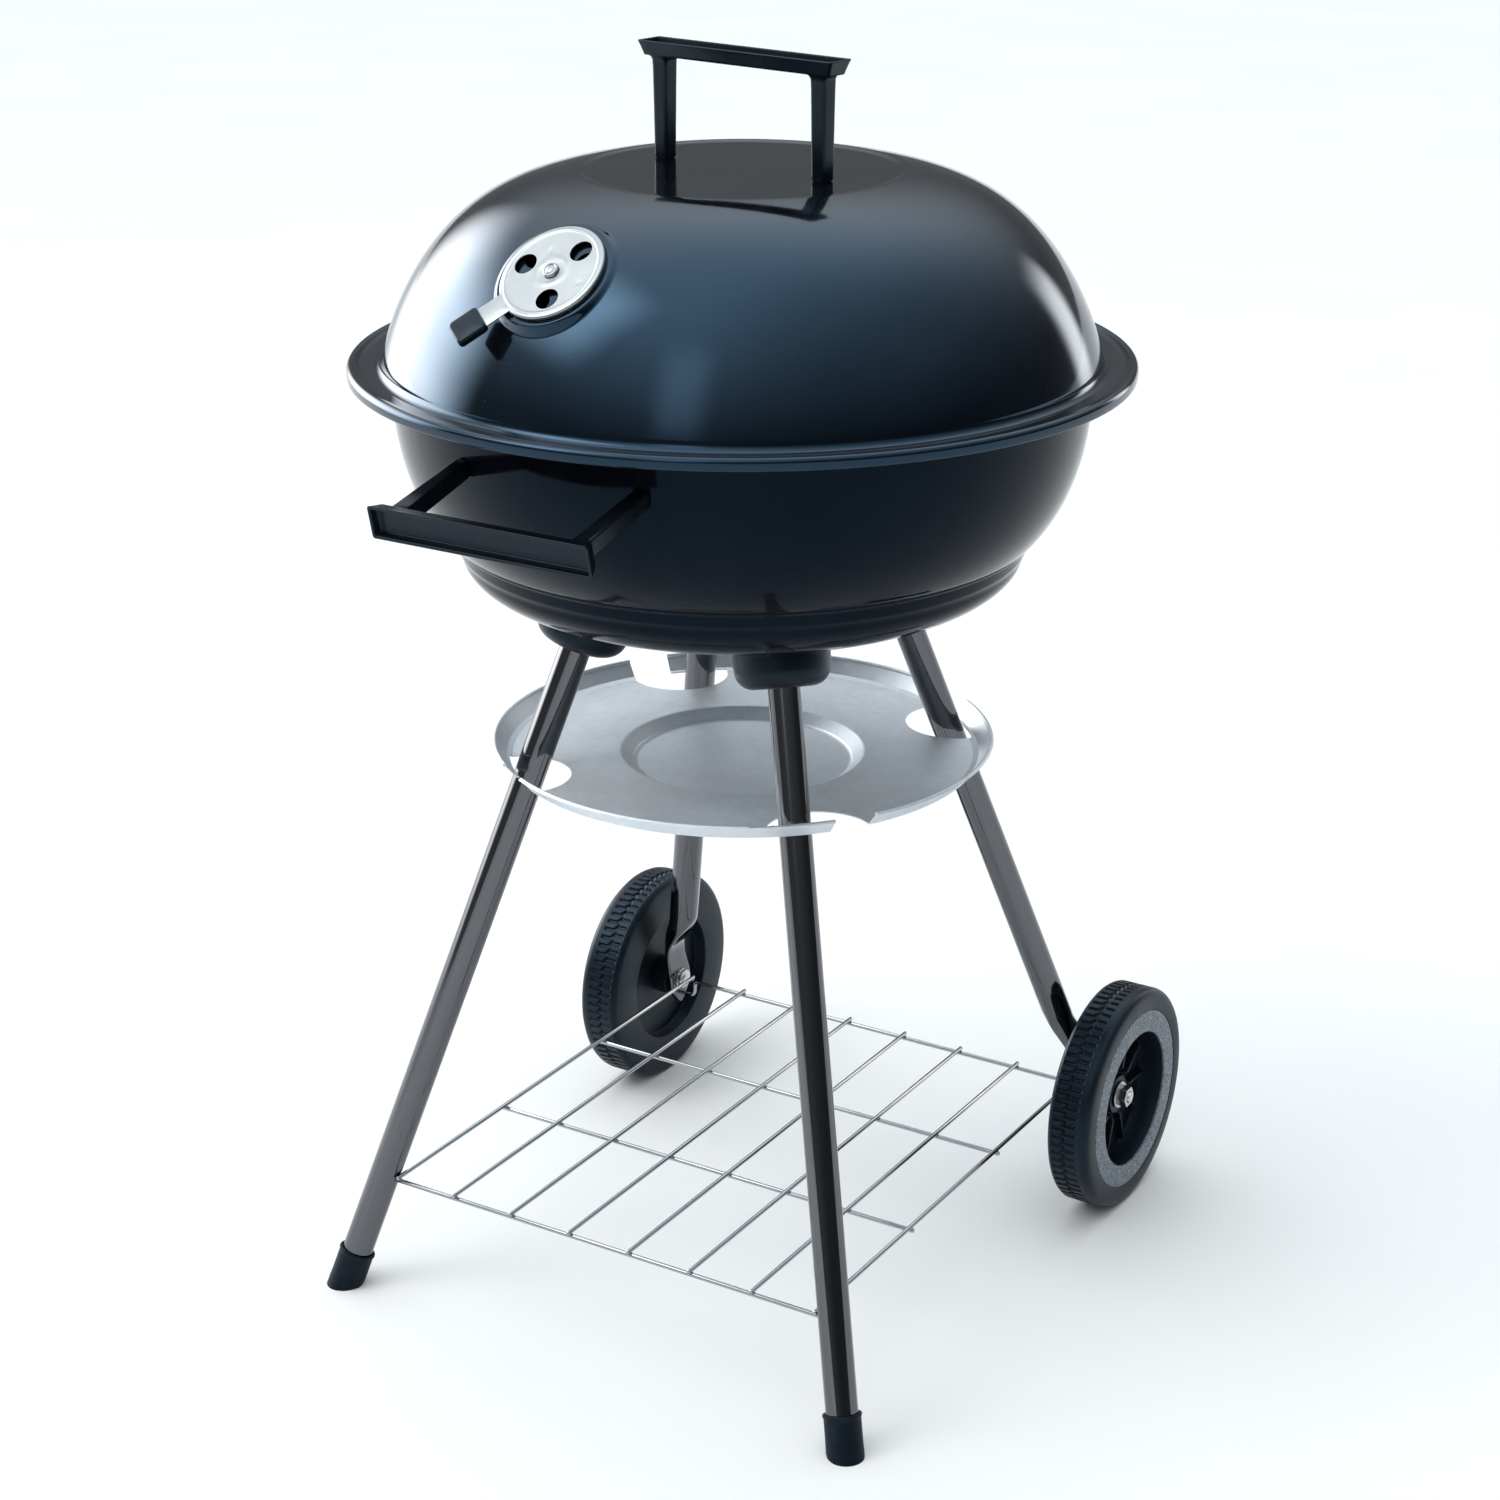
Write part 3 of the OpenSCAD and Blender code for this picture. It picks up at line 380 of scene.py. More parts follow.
def plastic(name, colour, rough, grain=1.0, shine=0.3):
    """Moulded plastic: a fine even grain, flow marks and a dull bloom in patches."""
    f = Finish(name)
    at = f.place()
    bloom = f.fit(f.noise(at, 16.0, 4.0, 0.6), 0.4, 0.7)
    fine = f.noise(at, 2600.0, 2.0)
    base = f.blend(bloom, colour, tuple(c * 1.5 + 0.0015 for c in colour))
    # painted sky reflection: the blue specular tint colours the plastic's reflections blue, standing in for a
    # reflected blue sky
    return f.surface(Base_Color=base, Roughness=bloom * 0.10 + fine * 0.06 + rough,
                     Normal=f.bump(fine + f.noise(at, 240.0, 2.0) * 0.7, 0.22 * grain, 0.00008),
                     Specular_IOR_Level=shine, Specular_Tint=(0.5, 0.75, 1, 1))


def rubber():
    """Black rubber: matt, dusty in patches, with a fine grain."""
    f = Finish("rubber")
    at = f.place()
    dust = f.fit(f.noise(at, 60.0, 5.0, 0.7), 0.45, 0.72)
    # painted sky reflection: the base colours and the specular tint lean blue, standing in for the blue sky reflected
    # on the black rubber; the dust patches are real dust
    base = f.blend(dust, (0.004, 0.0065, 0.0105), (0.012, 0.017, 0.025))
    return f.surface(Base_Color=base, Roughness=dust * 0.2 + 0.5,
                     Normal=f.bump(f.noise(at, 1800.0, 3.0), 0.3, 0.0001), Specular_IOR_Level=0.18,
                     Specular_Tint=(0.5, 0.75, 1, 1))


def drawn_metal(name, colour, rough, streak=1.0):
    """Bright drawn metal: hair lines along the piece, read from its own grain, with duller and brighter bands."""
    f = Finish(name)
    g = f.grain()
    hair = f.noise(g, 2.2, 3.0, 0.6)
    band = f.noise(g, 0.35, 2.0)
    tone = f.fit(hair * 0.6 + band * 0.4, 0.3, 0.7)
    base = f.blend(tone, tuple(c * 0.86 for c in colour), colour)
    return f.surface(Base_Color=base, Metallic=1.0, Roughness=tone * -0.07 * streak + rough,
                     Normal=f.bump(hair, 0.10 * streak, 0.00004))


def sheet_metal(name, colour, rough, spangle=1.0, metal=1.0):
    """Zinc-plated sheet: crystals of a few millimetres a little apart in tone, a fine grain and soft stains."""
    f = Finish(name)
    at = f.place()
    crystal = f.value("ShaderNodeTexVoronoi", {"feature": "F1"}, {"Vector": at, "Scale": 260.0}, "Color")
    crystal = f.value("ShaderNodeSeparateColor", None, {0: crystal})
    fine = f.noise(at, 1300.0, 3.0, 0.65)
    stain = f.fit(f.noise(at, 26.0, 4.0, 0.6), 0.42, 0.66)
    tone = crystal * 0.35 * spangle + fine * 0.35 + stain * 0.3
    base = f.blend(tone, tuple(c * 0.84 for c in colour), colour)
    return f.surface(Base_Color=base, Metallic=metal, Roughness=tone * 0.12 + rough,
                     Normal=f.bump(fine + crystal * 0.4 * spangle, 0.10, 0.00006))


def tyre_trim():
    """Grey-blue plastic with pale and dark specks."""
    f = Finish("speckled_trim")
    at = f.place()
    pale = f.fit(f.noise(at, 900.0, 2.0, 0.7), 0.52, 0.60)
    dark = f.fit(f.noise(at, 700.0, 2.0, 0.7), 0.56, 0.64)
    base = f.blend(dark, f.blend(pale, (0.13, 0.16, 0.19), (0.34, 0.39, 0.44)), (0.05, 0.06, 0.075))
    return f.surface(Base_Color=base, Roughness=pale * 0.1 + 0.5,
                     Normal=f.bump(f.noise(at, 1600.0, 2.0), 0.2, 0.0001))


def grate_steel():
    """Bare steel rods: dull, streaked brown-grey where they have been hot."""
    f = Finish("grate_steel")
    at = f.place()
    heat = f.fit(f.noise(at, 22.0, 5.0, 0.65), 0.4, 0.68)
    base = f.blend(heat, (0.20, 0.20, 0.205), (0.11, 0.095, 0.085))
    return f.surface(Base_Color=base, Metallic=1.0, Roughness=heat * 0.2 + 0.38,
                     Normal=f.bump(f.noise(at, 900.0, 4.0), 0.35, 0.0001))


lid_enamel = enamel("lid_enamel", 0.72)
black_enamel = enamel("bowl_enamel", 0.13)
# painted sky reflection: these black plastics get bluish base colours, standing in for the blue sky reflected on them
handle_plastic = plastic("handle_plastic", (0.0022, 0.0035, 0.0055), 0.17, 0.7, 0.28)
socket_plastic = plastic("socket_plastic", (0.003, 0.004, 0.0055), 0.26, 1.0, 0.28)
wheel_plastic = plastic("wheel_plastic", (0.0035, 0.0055, 0.0085), 0.34, 1.4, 0.3)
cap_rubber = rubber()
# painted shade: the leg and wire metals get dark base colours, standing in for the dark surroundings that these
# bright metals reflect
leg_metal = drawn_metal("leg_metal", (0.135, 0.14, 0.15), 0.11, 1.3)
wire_metal = drawn_metal("wire_metal", (0.42, 0.44, 0.46), 0.16, 0.6)
fastener_metal = sheet_metal("fastener_metal", (0.62, 0.63, 0.64), 0.24, 0.4)
zinc = sheet_metal("zinc_sheet", (0.80, 0.86, 0.92), 0.42, 1.0, 0.55)
damper_metal = sheet_metal("damper_metal", (0.36, 0.385, 0.40), 0.27, 0.5)
bracket_steel = sheet_metal("bracket_steel", (0.42, 0.42, 0.43), 0.4, 0.5)
hot_steel = grate_steel()
trim_plastic = tyre_trim()

cad_finish = {
    "enamel": black_enamel, "handle_plastic": handle_plastic, "socket_plastic": socket_plastic,
    "fastener": fastener_metal, "damper_metal": damper_metal, "leg_metal": zinc, "zinc": zinc,
    "bracket_steel": bracket_steel, "grate_plating": zinc, "grate_steel": hot_steel, "rubber": cap_rubber,
    "shelf_wire": zinc, "wheel_plastic": wheel_plastic, "wheel_trim": trim_plastic,
}
for sub in frame["record"]["subparts"]:
    node = frame["nodes"][sub["node"]]
    node.data.materials.clear()
    node.data.materials.append(cad_finish[sub["material_slot"]])


# ---- lid ----

LID_R = 211.0
CROWN_R = 94.0
CROWN_TOP = 687.5
DOME_Z0 = 567.3
DOME_OUT, DOME_UP = 4.32, 1.38  # the powers of the dome's superellipse
DOME_FULL = 121.2 / (1 - (CROWN_R / LID_R) ** DOME_OUT) ** (1 / DOME_UP)
BRIM_Z = MOUTH + ENAMEL_GAP + SHEET


def dome_z(r):
    """The dome is a superellipse: (r / R)^4.32 + ((z - z0) / h)^1.38 = 1."""
    return DOME_Z0 + DOME_FULL * np.maximum(1 - (r / LID_R) ** DOME_OUT, 1e-9) ** (1 / DOME_UP)


def lid_path():
    """The lid's outer profile from its middle: flat crown, soft step, dome, fillet, brim and its bead."""
    crown = np.stack([np.array([0, 15, 30, 45, 60, 72, 80, 85, 88.0]), np.full(9, CROWN_TOP)], 1)
    r = np.linspace(88.8, CROWN_R, 9)
    step = np.stack([r, CROWN_TOP + (dome_z(CROWN_R) - CROWN_TOP) * smooth((r - 88.5) / 5.5)], 1)
    z1 = BRIM_Z + 5
    share = (np.array([dome_z(CROWN_R), z1]) - DOME_Z0) / DOME_FULL
    first, last = np.arcsin(share ** (DOME_UP / 2))
    a = np.linspace(first, last, 92)[1:]
    dome = np.stack([LID_R * np.cos(a) ** (2 / DOME_OUT), DOME_Z0 + DOME_FULL * np.sin(a) ** (2 / DOME_UP)], 1)
    foot = arc(dome[-1, 0] + 5, z1, 5, 190, 270, 8)
    brim = np.array([[RIM_R - 9.5, BRIM_Z], [RIM_R - 7.4, BRIM_Z + 0.05], [RIM_R - 6.2, BRIM_Z + 0.45]])
    bead = arc(RIM_R - 3, BRIM_Z - 0.6, 3, 138, 0, 12)
    band = np.array([[RIM_R, BRIM_Z - 2.2], [RIM_R, BRIM_Z - 4.0]])
    return np.concatenate([crown, step, dome, foot, brim, bead, band])


VENT_R = 167.0
VENT_HOLE, VENT_PITCH = 6.6, 19.0  # radius of each hole, and of the circle that their middles lie on
VENT_TILT = math.radians(41.28)
VENT_TURN = LID_TURN + math.radians(2.7)
st, ct, sv, cv = math.sin(VENT_TILT), math.cos(VENT_TILT), math.sin(VENT_TURN), math.cos(VENT_TURN)
VENT_X = np.array([cv, sv, 0])
VENT_Y = np.array([-sv * ct, cv * ct, st])
VENT_N = np.array([sv * st, -cv * st, ct])
VENT_O = np.array([VENT_R * sv, -VENT_R * cv, dome_z(VENT_R)]) - 0.8 * VENT_N
TAB_AT = math.radians(-126.0)
HOLE_AT = math.radians(-66.0)
LID_HOLE_AT = math.radians(-86.0)


def at_vent(part):
    return placed(part, VENT_O, VENT_X, VENT_Y, VENT_N)


def dome_height(x, y):
    """Height of the dome over the vent's plane at (x, y), found by fourteen steps of a fixed slope."""
    h = np.zeros_like(x)
    for _ in range(14):
        p = VENT_O + x[..., None] * VENT_X + y[..., None] * VENT_Y + h[..., None] * VENT_N
        h = h - (p[..., 2] - dome_z(np.hypot(p[..., 0], p[..., 1]))) / 1.36
    return h


def holed_disc(outer, hole, pitch, first, centre, height, thick, n_arc, n_in=12):
    """A round plate with three holes round a centre hole. Each third is a grid between the rim of its hole and its
    own outline: point = hole rim + s (outline - hole rim), s from 0 to 1, with z = height(x, y) on top, and the same
    less thick below it."""
    n_ray = 11
    arc_out = np.radians(np.linspace(-60, 60, n_arc + 1))[:-1]
    arc_in = np.radians(np.linspace(60, -60, n_ray))[:-1]
    ray_in = np.linspace(outer, centre, n_ray + 1)[:-1]
    ray_out = np.linspace(centre, outer, n_ray + 1)[:-1]
    cos60, sin60 = 0.5, math.sin(math.pi / 3)
    edge = np.concatenate([
        np.stack([outer * np.cos(arc_out), outer * np.sin(arc_out)], 1),
        np.stack([ray_in * cos60, ray_in * sin60], 1),
        np.stack([centre * np.cos(arc_in), centre * np.sin(arc_in)], 1),
        np.stack([ray_out * cos60, -ray_out * sin60], 1)])
    mid = np.array([pitch, 0])
    rim = mid + hole * unit(edge - mid)
    s = np.linspace(0, 1, n_in)[None, :, None] ** 1.25
    flat = rim[:, None] * (1 - s) + edge[:, None] * s
    parts = []
    for k in range(3):
        a = first + k * 2 * math.pi / 3
        turn = np.array([[math.cos(a), math.sin(a)], [-math.sin(a), math.cos(a)]])
        xy = flat @ turn
        z = height(xy[..., 0], xy[..., 1])
        top = np.concatenate([xy, z[..., None]], -1)
        low = top - [0, 0, thick]
        f = grid_faces(len(edge), n_in, loop_u=True)
        wall = np.stack([top[:, 0], low[:, 0]], 1)
        parts += [(top.reshape(-1, 3), f[:, ::-1]), (low.reshape(-1, 3), f),
                  (wall.reshape(-1, 3), grid_faces(len(edge), 2, loop_u=True))]
        bore = slice(n_arc + n_ray, n_arc + 2 * n_ray)
        hub = np.stack([top[bore, -1], low[bore, -1]], 1)
        parts.append((hub.reshape(-1, 3), grid_faces(n_ray, 2)))
    return parts


def vent_pad():
    """The raised round pad pressed in the dome: flat inside, then along a smooth step to the dome's own height."""
    n = 192
    a = np.linspace(0, 2 * np.pi, n, endpoint=False)[:, None] + LID_HOLE_AT + math.pi / 3
    r = np.concatenate([np.linspace(33, 38, 15), np.linspace(38.8, 50.4, 14), [50.8, 51.0]])[None]
    x, y = r * np.cos(a), r * np.sin(a)
    lift = smooth((r - 33.4) / 4.0)
    z = lift * (dome_height(x, y) + 0.04)
    top = np.stack([x, y, z], -1)
    low = top - [0, 0, SHEET + 0.08]
    f = grid_faces(n, r.shape[1], loop_u=True)
    edge = np.stack([top[:, -1], low[:, -1]], 1)
    parts = [(top.reshape(-1, 3), f[:, ::-1]), (low.reshape(-1, 3), f),
             (edge.reshape(-1, 3), grid_faces(n, 2, loop_u=True)[:, ::-1])]
    parts += holed_disc(33, VENT_HOLE, VENT_PITCH, LID_HOLE_AT, 2.6, lambda x, y: x * 0, SHEET + 0.08, 64)
    return [at_vent(p) for p in parts]


def lid_skin():
    """The lid turned from its profile, without the round patch that the vent's pad fills."""
    v, f = outward(lathe(thicken(lid_path(), SHEET), 300))
    d = v - VENT_O
    inside = (np.hypot(d @ VENT_X, d @ VENT_Y) < 46.5) & (d @ VENT_N < 8) & (d @ VENT_N > -16)
    return [(v, f[~inside[f].all(1)])] + vent_pad()


piece("lid_skin", lid_skin(), lid_enamel, "lid", ["lid_shell"])


# ---- the vent's damper, its grip and its rivet ----

DAMPER_R = 31.0
PLATE_R = 26.4  # the damper's holed plate ends here, and its bead and turned edge begin


def damper_bead(r):
    """Height of the damper's top with the bead near its edge."""
    return 2.9 + 0.45 * np.exp(-(((r - 28.0) / 0.8) ** 2))


def damper_face(x, y):
    """Height of the damper: its bead, two small dimples and a raised ring round the rivet."""
    r = np.hypot(x, y)
    z = damper_bead(r) + 0.35 * np.exp(-(((r - 8.6) / 1.1) ** 2))
    for px, py in ((-7.9, 12.8), (21.8, -4.1)):
        z = z - 0.4 * np.exp(-((np.hypot(x - px, y - py) / 1.0) ** 2))
    return z


def damper_disc(outer, edge):
    """The damper's plate with its three holes, then its bead and its edge turned down."""
    n_arc = 60
    r = np.linspace(PLATE_R, 29.6, 12)
    top = np.stack([r, damper_bead(r)], 1)
    roll = arc(outer - 1.2, 1.7, 1.2, 90, 0, 6)
    rest = np.array([[outer, 0.9], [outer, edge + 0.1], [outer - 0.3, edge], [outer - 0.8, edge + 0.1],
                     [outer - 0.8, 1.4], [outer - 1.4, 2.05], [PLATE_R, 2.1]])
    ring = lathe(np.concatenate([top, roll, rest]), 3 * n_arc)
    plate = holed_disc(PLATE_R, VENT_HOLE, VENT_PITCH, HOLE_AT, 2.55, damper_face, 0.8, n_arc)
    return plate + [outward(turned(ring, HOLE_AT + math.pi / 3))]


tab = slab(10.5, 7.5, 1.0, 2.1, 2.9, 0.3)
tab = placed(tab, (DAMPER_R + 7.5, 0, 0), (1, 0, 0), (0, 1, 0), (0, 0, 1))
grip = slab(9, 9, 2.2, -2.5, 2.5, 1.3, 0.25)
grip = placed(grip, (DAMPER_R + 22, 0, 2.5), (1, 0, 0), (0, 1, 0), (0, 0, 1))
piece("lid_damper", [at_vent(p) for p in damper_disc(DAMPER_R, 0.3) + [turned(tab, TAB_AT)]],
      damper_metal, "lid_vent", ["lid_vent_damper"])
piece("lid_damper_grip", [at_vent(turned(grip, TAB_AT))], handle_plastic, "lid_vent",
      ["lid_vent_grip"])


def rivet_head(r, h, z, neck, tail):
    """A domed head with a rolled ring, its neck down to tail and a flat end there."""
    dome = np.array([[0, z + h], [r * 0.25, z + h * 0.97], [r * 0.45, z + h * 0.86], [r * 0.58, z + h * 0.66],
                     [r * 0.64, z + h * 0.60], [r * 0.74, z + h * 0.78], [r * 0.86, z + h * 0.72],
                     [r * 0.96, z + h * 0.42], [r, z + h * 0.12], [r * 0.97, z], [neck, z], [neck, tail + 1.4],
                     [neck + 1.5, tail + 1.3], [neck + 1.7, tail + 0.6], [neck + 1.3, tail], [0, tail]])
    return outward(lathe(dome, 64))


piece("lid_vent_rivet_head", [at_vent(rivet_head(4.8, 2.0, 3.2, 2.5, -2.7))], damper_metal, "lid",
      ["lid_vent_rivet"])


# ---- handles ----


def handle(foot_z):
    """The bar is an open tray, a stack of rounded rectangles down its outside and back inside it. Each post is a
    stack that narrows to its foot and swells into the bar; foot_z(x, y) moves the foot's points onto the wall."""
    bar = [(64.0, 0, 0, 58.5), (66.4, 6.3, 1.0, 58.5), (67.1, 7.1, 1.2, 58.65), (67.5, 7.5, 1.4, 59.1),
           (67.8, 7.8, 1.5, 60.2), (69.0, 8.75, 1.6, 63.6), (70.1, 9.6, 1.7, 66.2), (70.3, 9.75, 1.7, 66.6),
           (70.15, 9.6, 1.6, 66.9), (69.8, 9.3, 1.4, 67.0), (68.9, 8.4, 1.0, 67.0), (68.6, 8.1, 0.9, 66.85),
           (68.4, 7.9, 0.8, 66.4), (67.9, 7.4, 0.8, 63.4), (67.6, 7.1, 0.9, 62.6), (66.9, 6.4, 0.9, 62.2),
           (65.5, 5.2, 0.8, 62.1), (64.0, 0, 0, 62.1)]
    parts = [outward(stack(bar, 5, 24))]
    h = [(0, 0.0), (1.2, 0.02), (4, 0.08), (20, 0.3), (40, 0.62), (52, 0.85), (56, 1.0), (57.6, 1.5), (58.7, 2.6)]
    post = [(4.6 + 0.75 * g if g <= 1 else 4.35 + g, 4.9 + 0.6 * g if g <= 1 else 4.5 + g, 1.6, z) for z, g in h]
    v, f = stack([(0.2, 0, 0, 0.0), (3.9, 4.2, 1.2, 0.0)] + post[1:] + [(0.2, 0, 0, 58.9)], 5, 4)
    low = np.clip(1 - v[:, 2] / 12, 0, 1)
    for s in (-1, 1):
        p = v.copy()
        p[:, 0] += s * POST_X
        p[:, 2] += low * foot_z(p[:, 0], p[:, 1])
        parts.append(outward((p, f)))
    return parts


def lid_axes(part):
    return placed(turned(part, LID_TURN), (0, 0, CROWN_TOP + 0.1), (1, 0, 0), (0, 1, 0), (0, 0, 1))


piece("lid_handle_moulding", [lid_axes(p) for p in handle(lambda x, y: x * 0)], handle_plastic, "lid",
      ["lid_handle"])

BOWL_R = 204.0
DISH_IN, DISH_OUT, DISH_TOP = 98.0, 166.0, 468.0  # radii where the dished part starts and ends, and its top


def bowl_wall(z):
    """The bowl is a superellipse: (r / R)^3.156 + ((zc - z) / d)^3.245 = 1, zc 30.2 above the mouth and d 169.2."""
    return BOWL_R * np.maximum(1 - (np.maximum(MOUTH + 30.2 - z, 0) / 169.2) ** 3.245, 1e-9) ** (1 / 3.156)


TIP = math.radians(13.0)
BOWL_HANDLE_Z = FLOOR + 112
BH_O = np.array([0, 6.0 - bowl_wall(BOWL_HANDLE_Z), BOWL_HANDLE_Z])
BH_Y = np.array([0, -math.sin(TIP), math.cos(TIP)])
BH_Z = np.array([0, -math.cos(TIP), -math.sin(TIP)])


def bowl_foot(x, y):
    """Distance along the handle from its feet to the bowl's wall, by steps of the gap between point and wall."""
    h = np.zeros_like(x)
    for _ in range(20):
        p = BH_O + x[:, None] * np.array([1.0, 0, 0]) + y[:, None] * BH_Y + h[:, None] * BH_Z
        h = h - (np.hypot(p[:, 0], p[:, 1]) - bowl_wall(p[:, 2])) * 0.9
    return h + 0.05


piece("bowl_handle_moulding", [placed(p, BH_O, (1, 0, 0), BH_Y, BH_Z) for p in handle(bowl_foot)], handle_plastic,
      "kettle", ["bowl_handle"])


# ---- bowl ----


def bowl_path():
    """The bowl's outer profile: flat floor, dish, upright band, bead under the ledge, wall, bend and flange."""
    floor = np.stack([np.array([60, 75, 90, 95.0]), np.full(4, FLOOR)], 1)
    a = np.radians(np.linspace(0, 90, 22))
    dish = np.stack([DISH_IN + (DISH_OUT - DISH_IN) * np.sin(a), DISH_TOP - (DISH_TOP - FLOOR) * np.cos(a)], 1)
    bead = np.array([[167.2, 469.3], [167.9, 471.2], [168.0, 475.4], [168.4, 476.8], [169.4, 477.5], [170.6, 477.6],
                     [171.7, 477.9], [172.3, 478.7], [172.4, 479.7]])
    z = np.linspace(481.0, 569.3, 60)
    wall = np.stack([bowl_wall(z), z], 1)
    turn = arc(bowl_wall(569.3) + 6, 570.3, 6, 180, 90, 8)
    lip = arc(223.4, 574.5, 1.8, 90, 0, 5)
    return np.concatenate([floor, dish, bead, wall, turn, [[219.0, 576.3]], lip])


def bowl_skin():
    """The bowl turned from its profile, with the holed plate of its floor in the middle."""
    path = bowl_path()
    d = unit(np.gradient(path, axis=0))
    left = np.stack([-d[:, 1], d[:, 0]], 1)
    a = np.linspace(0, np.pi, 6)[1:-1, None]
    tip = path[-1] + left[-1] * 0.6 * (1 - np.cos(a)) + d[-1] * 0.6 * np.sin(a)
    wall = lathe(np.concatenate([path, tip, (path + left * SHEET)[::-1]]), 360)
    plate = holed_disc(60, 11, 36, math.pi / 6, 2.6, lambda x, y: x * 0 + FLOOR + SHEET, SHEET, 120, 8)
    return [wall] + plate


piece("bowl_skin", bowl_skin(), black_enamel, "kettle", ["bowl_shell"])


# ---- legs, sockets and caps ----


def at_height(a, b, z):
    return a + (b - a) * (z - a[2]) / (b[2] - a[2])


def front_leg_tube():
    """A tube from inside its cap, 2 above the ground, to inside its socket; its grain runs the tube's length."""
    d = unit(FRONT_TOP - FRONT_FOOT)
    length = np.linalg.norm(FRONT_TOP - FRONT_FOOT)
    s = np.linspace(6, length - 13.5, 40)
    path = FRONT_FOOT + s[:, None] * d
    v, f = tube(path, TUBE_R, (0, 0, 1), 48)
    v[:, 2] = np.maximum(v[:, 2], 2.0)
    return v, f, FRONT_FOOT, d


def rear_leg_form():
    """A tube pressed flat at its lower end: the section at each height is |x / a|^p + |y / b|^p = 1, which turns from
    a circle into a thin plate with a rounded end as the height falls."""
    top = np.linalg.norm(REAR_TOP - AXLE)
    cosl = (REAR_TOP[2] - AXLE[2]) / top
    z = np.concatenate([[-18.0, -17.6, -16.5, -14, -10, -6, -2, 3, 8, 14, 20], np.linspace(24, 62, 26),
                        np.linspace(70, (top - 13.5) * cosl, 30)])
    hw = np.interp(z, [-18, -17.6, -16.5, -6, 5, 24, 62, 400], [0.2, 1.6, 3.0, 12.4, 12.5, 10.6, TUBE_R, TUBE_R])
    ht = 1.7 + (TUBE_R - 1.7) * smooth((z - 24) / 36)
    slope = (REAR_TOP - AXLE) / (REAR_TOP[2] - AXLE[2])
    cx = AXLE[0] + slope[0] * z * smooth((z - 14) / 44)
    cy = AXLE[1] + slope[1] * np.maximum(z, 0)
    power = 2 + 7 * (1 - smooth((z - 26) / 30))
    a = np.linspace(0, 2 * np.pi, 64, endpoint=False)[None]
    ca, sa = np.cos(a), np.sin(a)
    k = 1 / (np.abs(ca) ** power[:, None] + np.abs(sa) ** power[:, None]) ** (1 / power[:, None])
    round_x = 1 / cosl ** (0.5 * smooth((z - 40) / 30))
    x = cx[:, None] + ht[:, None] * round_x[:, None] * k * ca
    y = cy[:, None] + hw[:, None] * round_x[:, None] * k * sa
    v = np.stack([x, y, AXLE[2] + z[:, None] + 0 * x], -1)
    return v.reshape(-1, 3), grid_faces(len(z), 64, loop_v=True)


def long_grain(v, origin, d):
    """Across the piece in millimetres and along it in sixtieths, for streaks that run its length."""
    p = v - origin
    s = p @ d
    across = p - s[:, None] * d
    return across * 0.9 + s[:, None] * d / 60


def both_sides(name, part, grain_axis, material, body, nodes):
    """The piece on the right and its mirror image on the left."""
    for side, node in (("right", nodes[0]), ("left", nodes[1])):
        p = outward(part if side == "right" else mirrored(part))
        g = None
        if grain_axis is not None:
            o, d = (np.array(q, float) * ([1, 1, 1] if side == "right" else [-1, 1, 1]) for q in grain_axis)
            g = [long_grain(p[0], o, d)]
        piece(f"{name}_{side}", [p], material, body, [node], g)


v, f, o, d = front_leg_tube()
both_sides("front_tube", (v, f), (o, d), leg_metal, "kettle", ("front_leg_right", "front_leg_left"))
both_sides("rear_tube", rear_leg_form(), (AXLE, unit(REAR_TOP - AXLE)), leg_metal, "kettle",
           ("rear_leg_right", "rear_leg_left"))


def underside(r):
    """Height of the bowl's outer surface over a point at radius r, out to its dished part."""
    s = np.clip((r - DISH_IN) / (DISH_OUT - DISH_IN), 0, 1)
    return np.where(r < DISH_IN, FLOOR, DISH_TOP - (DISH_TOP - FLOOR) * np.sqrt(1 - s * s))


def socket(low, high):
    """A cup turned about the leg, with a thin lip, a collar round the tube and a neck that ends on the bowl."""
    x, y, z = frame_of(low, high)
    path = np.concatenate([
        [[9.62, -12.0], [9.62, -29.0], [10.0, -29.6], [12.5, -29.8]],
        arc(16.5, -18.5, 11.2, -93, -6, 14),
        [[28.3, -13.0], [28.5, -8.6], [28.7, -8.15], [29.6, -8.1], [32.0, -8.05], [32.4, -7.8], [32.5, -7.3],
         [32.4, -6.8], [32.0, -6.5], [28.5, -6.4], [27.7, -6.0], [27.5, -5.0], [27.5, 0], [27.5, 12], [27.5, 26],
         [18.0, 26], [0.0, 26], [0.0, -12.0]]])
    v, f = placed(outward(lathe(path, 96)), high, x, y, z)
    r = np.hypot(v[:, 0], v[:, 1])
    v[:, 2] = np.minimum(v[:, 2], underside(r) - 0.12)
    return v, f


both_sides("front_socket_cup", socket(FRONT_FOOT, FRONT_TOP), None, socket_plastic, "kettle",
           ("leg_socket_front_right", "leg_socket_front_left"))
both_sides("rear_socket_cup", socket(AXLE, REAR_TOP), None, socket_plastic, "kettle",
           ("leg_socket_rear_right", "leg_socket_rear_left"))


def foot_cap():
    """A rubber cap turned about the leg, with a bead at its mouth, and pressed flat on the ground."""
    x, y, z = frame_of(FRONT_FOOT, FRONT_TOP)
    path = np.array([[9.55, 6.0], [9.55, 23.6], [9.8, 24.0], [10.6, 24.2], [11.3, 23.9], [11.5, 23.2], [11.3, 22.4],
                     [10.95, 21.9], [10.9, 20], [10.9, 12], [10.95, 6], [11.1, 2.0], [11.0, -2.0], [10.6, -5.5],
                     [9.6, -7.5], [0, -7.6], [0, 6.0]])
    v, f = placed(outward(lathe(path, 72)), FRONT_FOOT, x, y, z)
    v[:, 2] = np.maximum(v[:, 2], 0)
    return v, f


both_sides("rubber_cap", foot_cap(), None, cap_rubber, "kettle", ("foot_cap_right", "foot_cap_left"))


# ---- shelf and grates ----


def joined(parts):
    """The points of the parts scaled down, as their grain."""
    return [v * 0.5 for v, _ in parts]


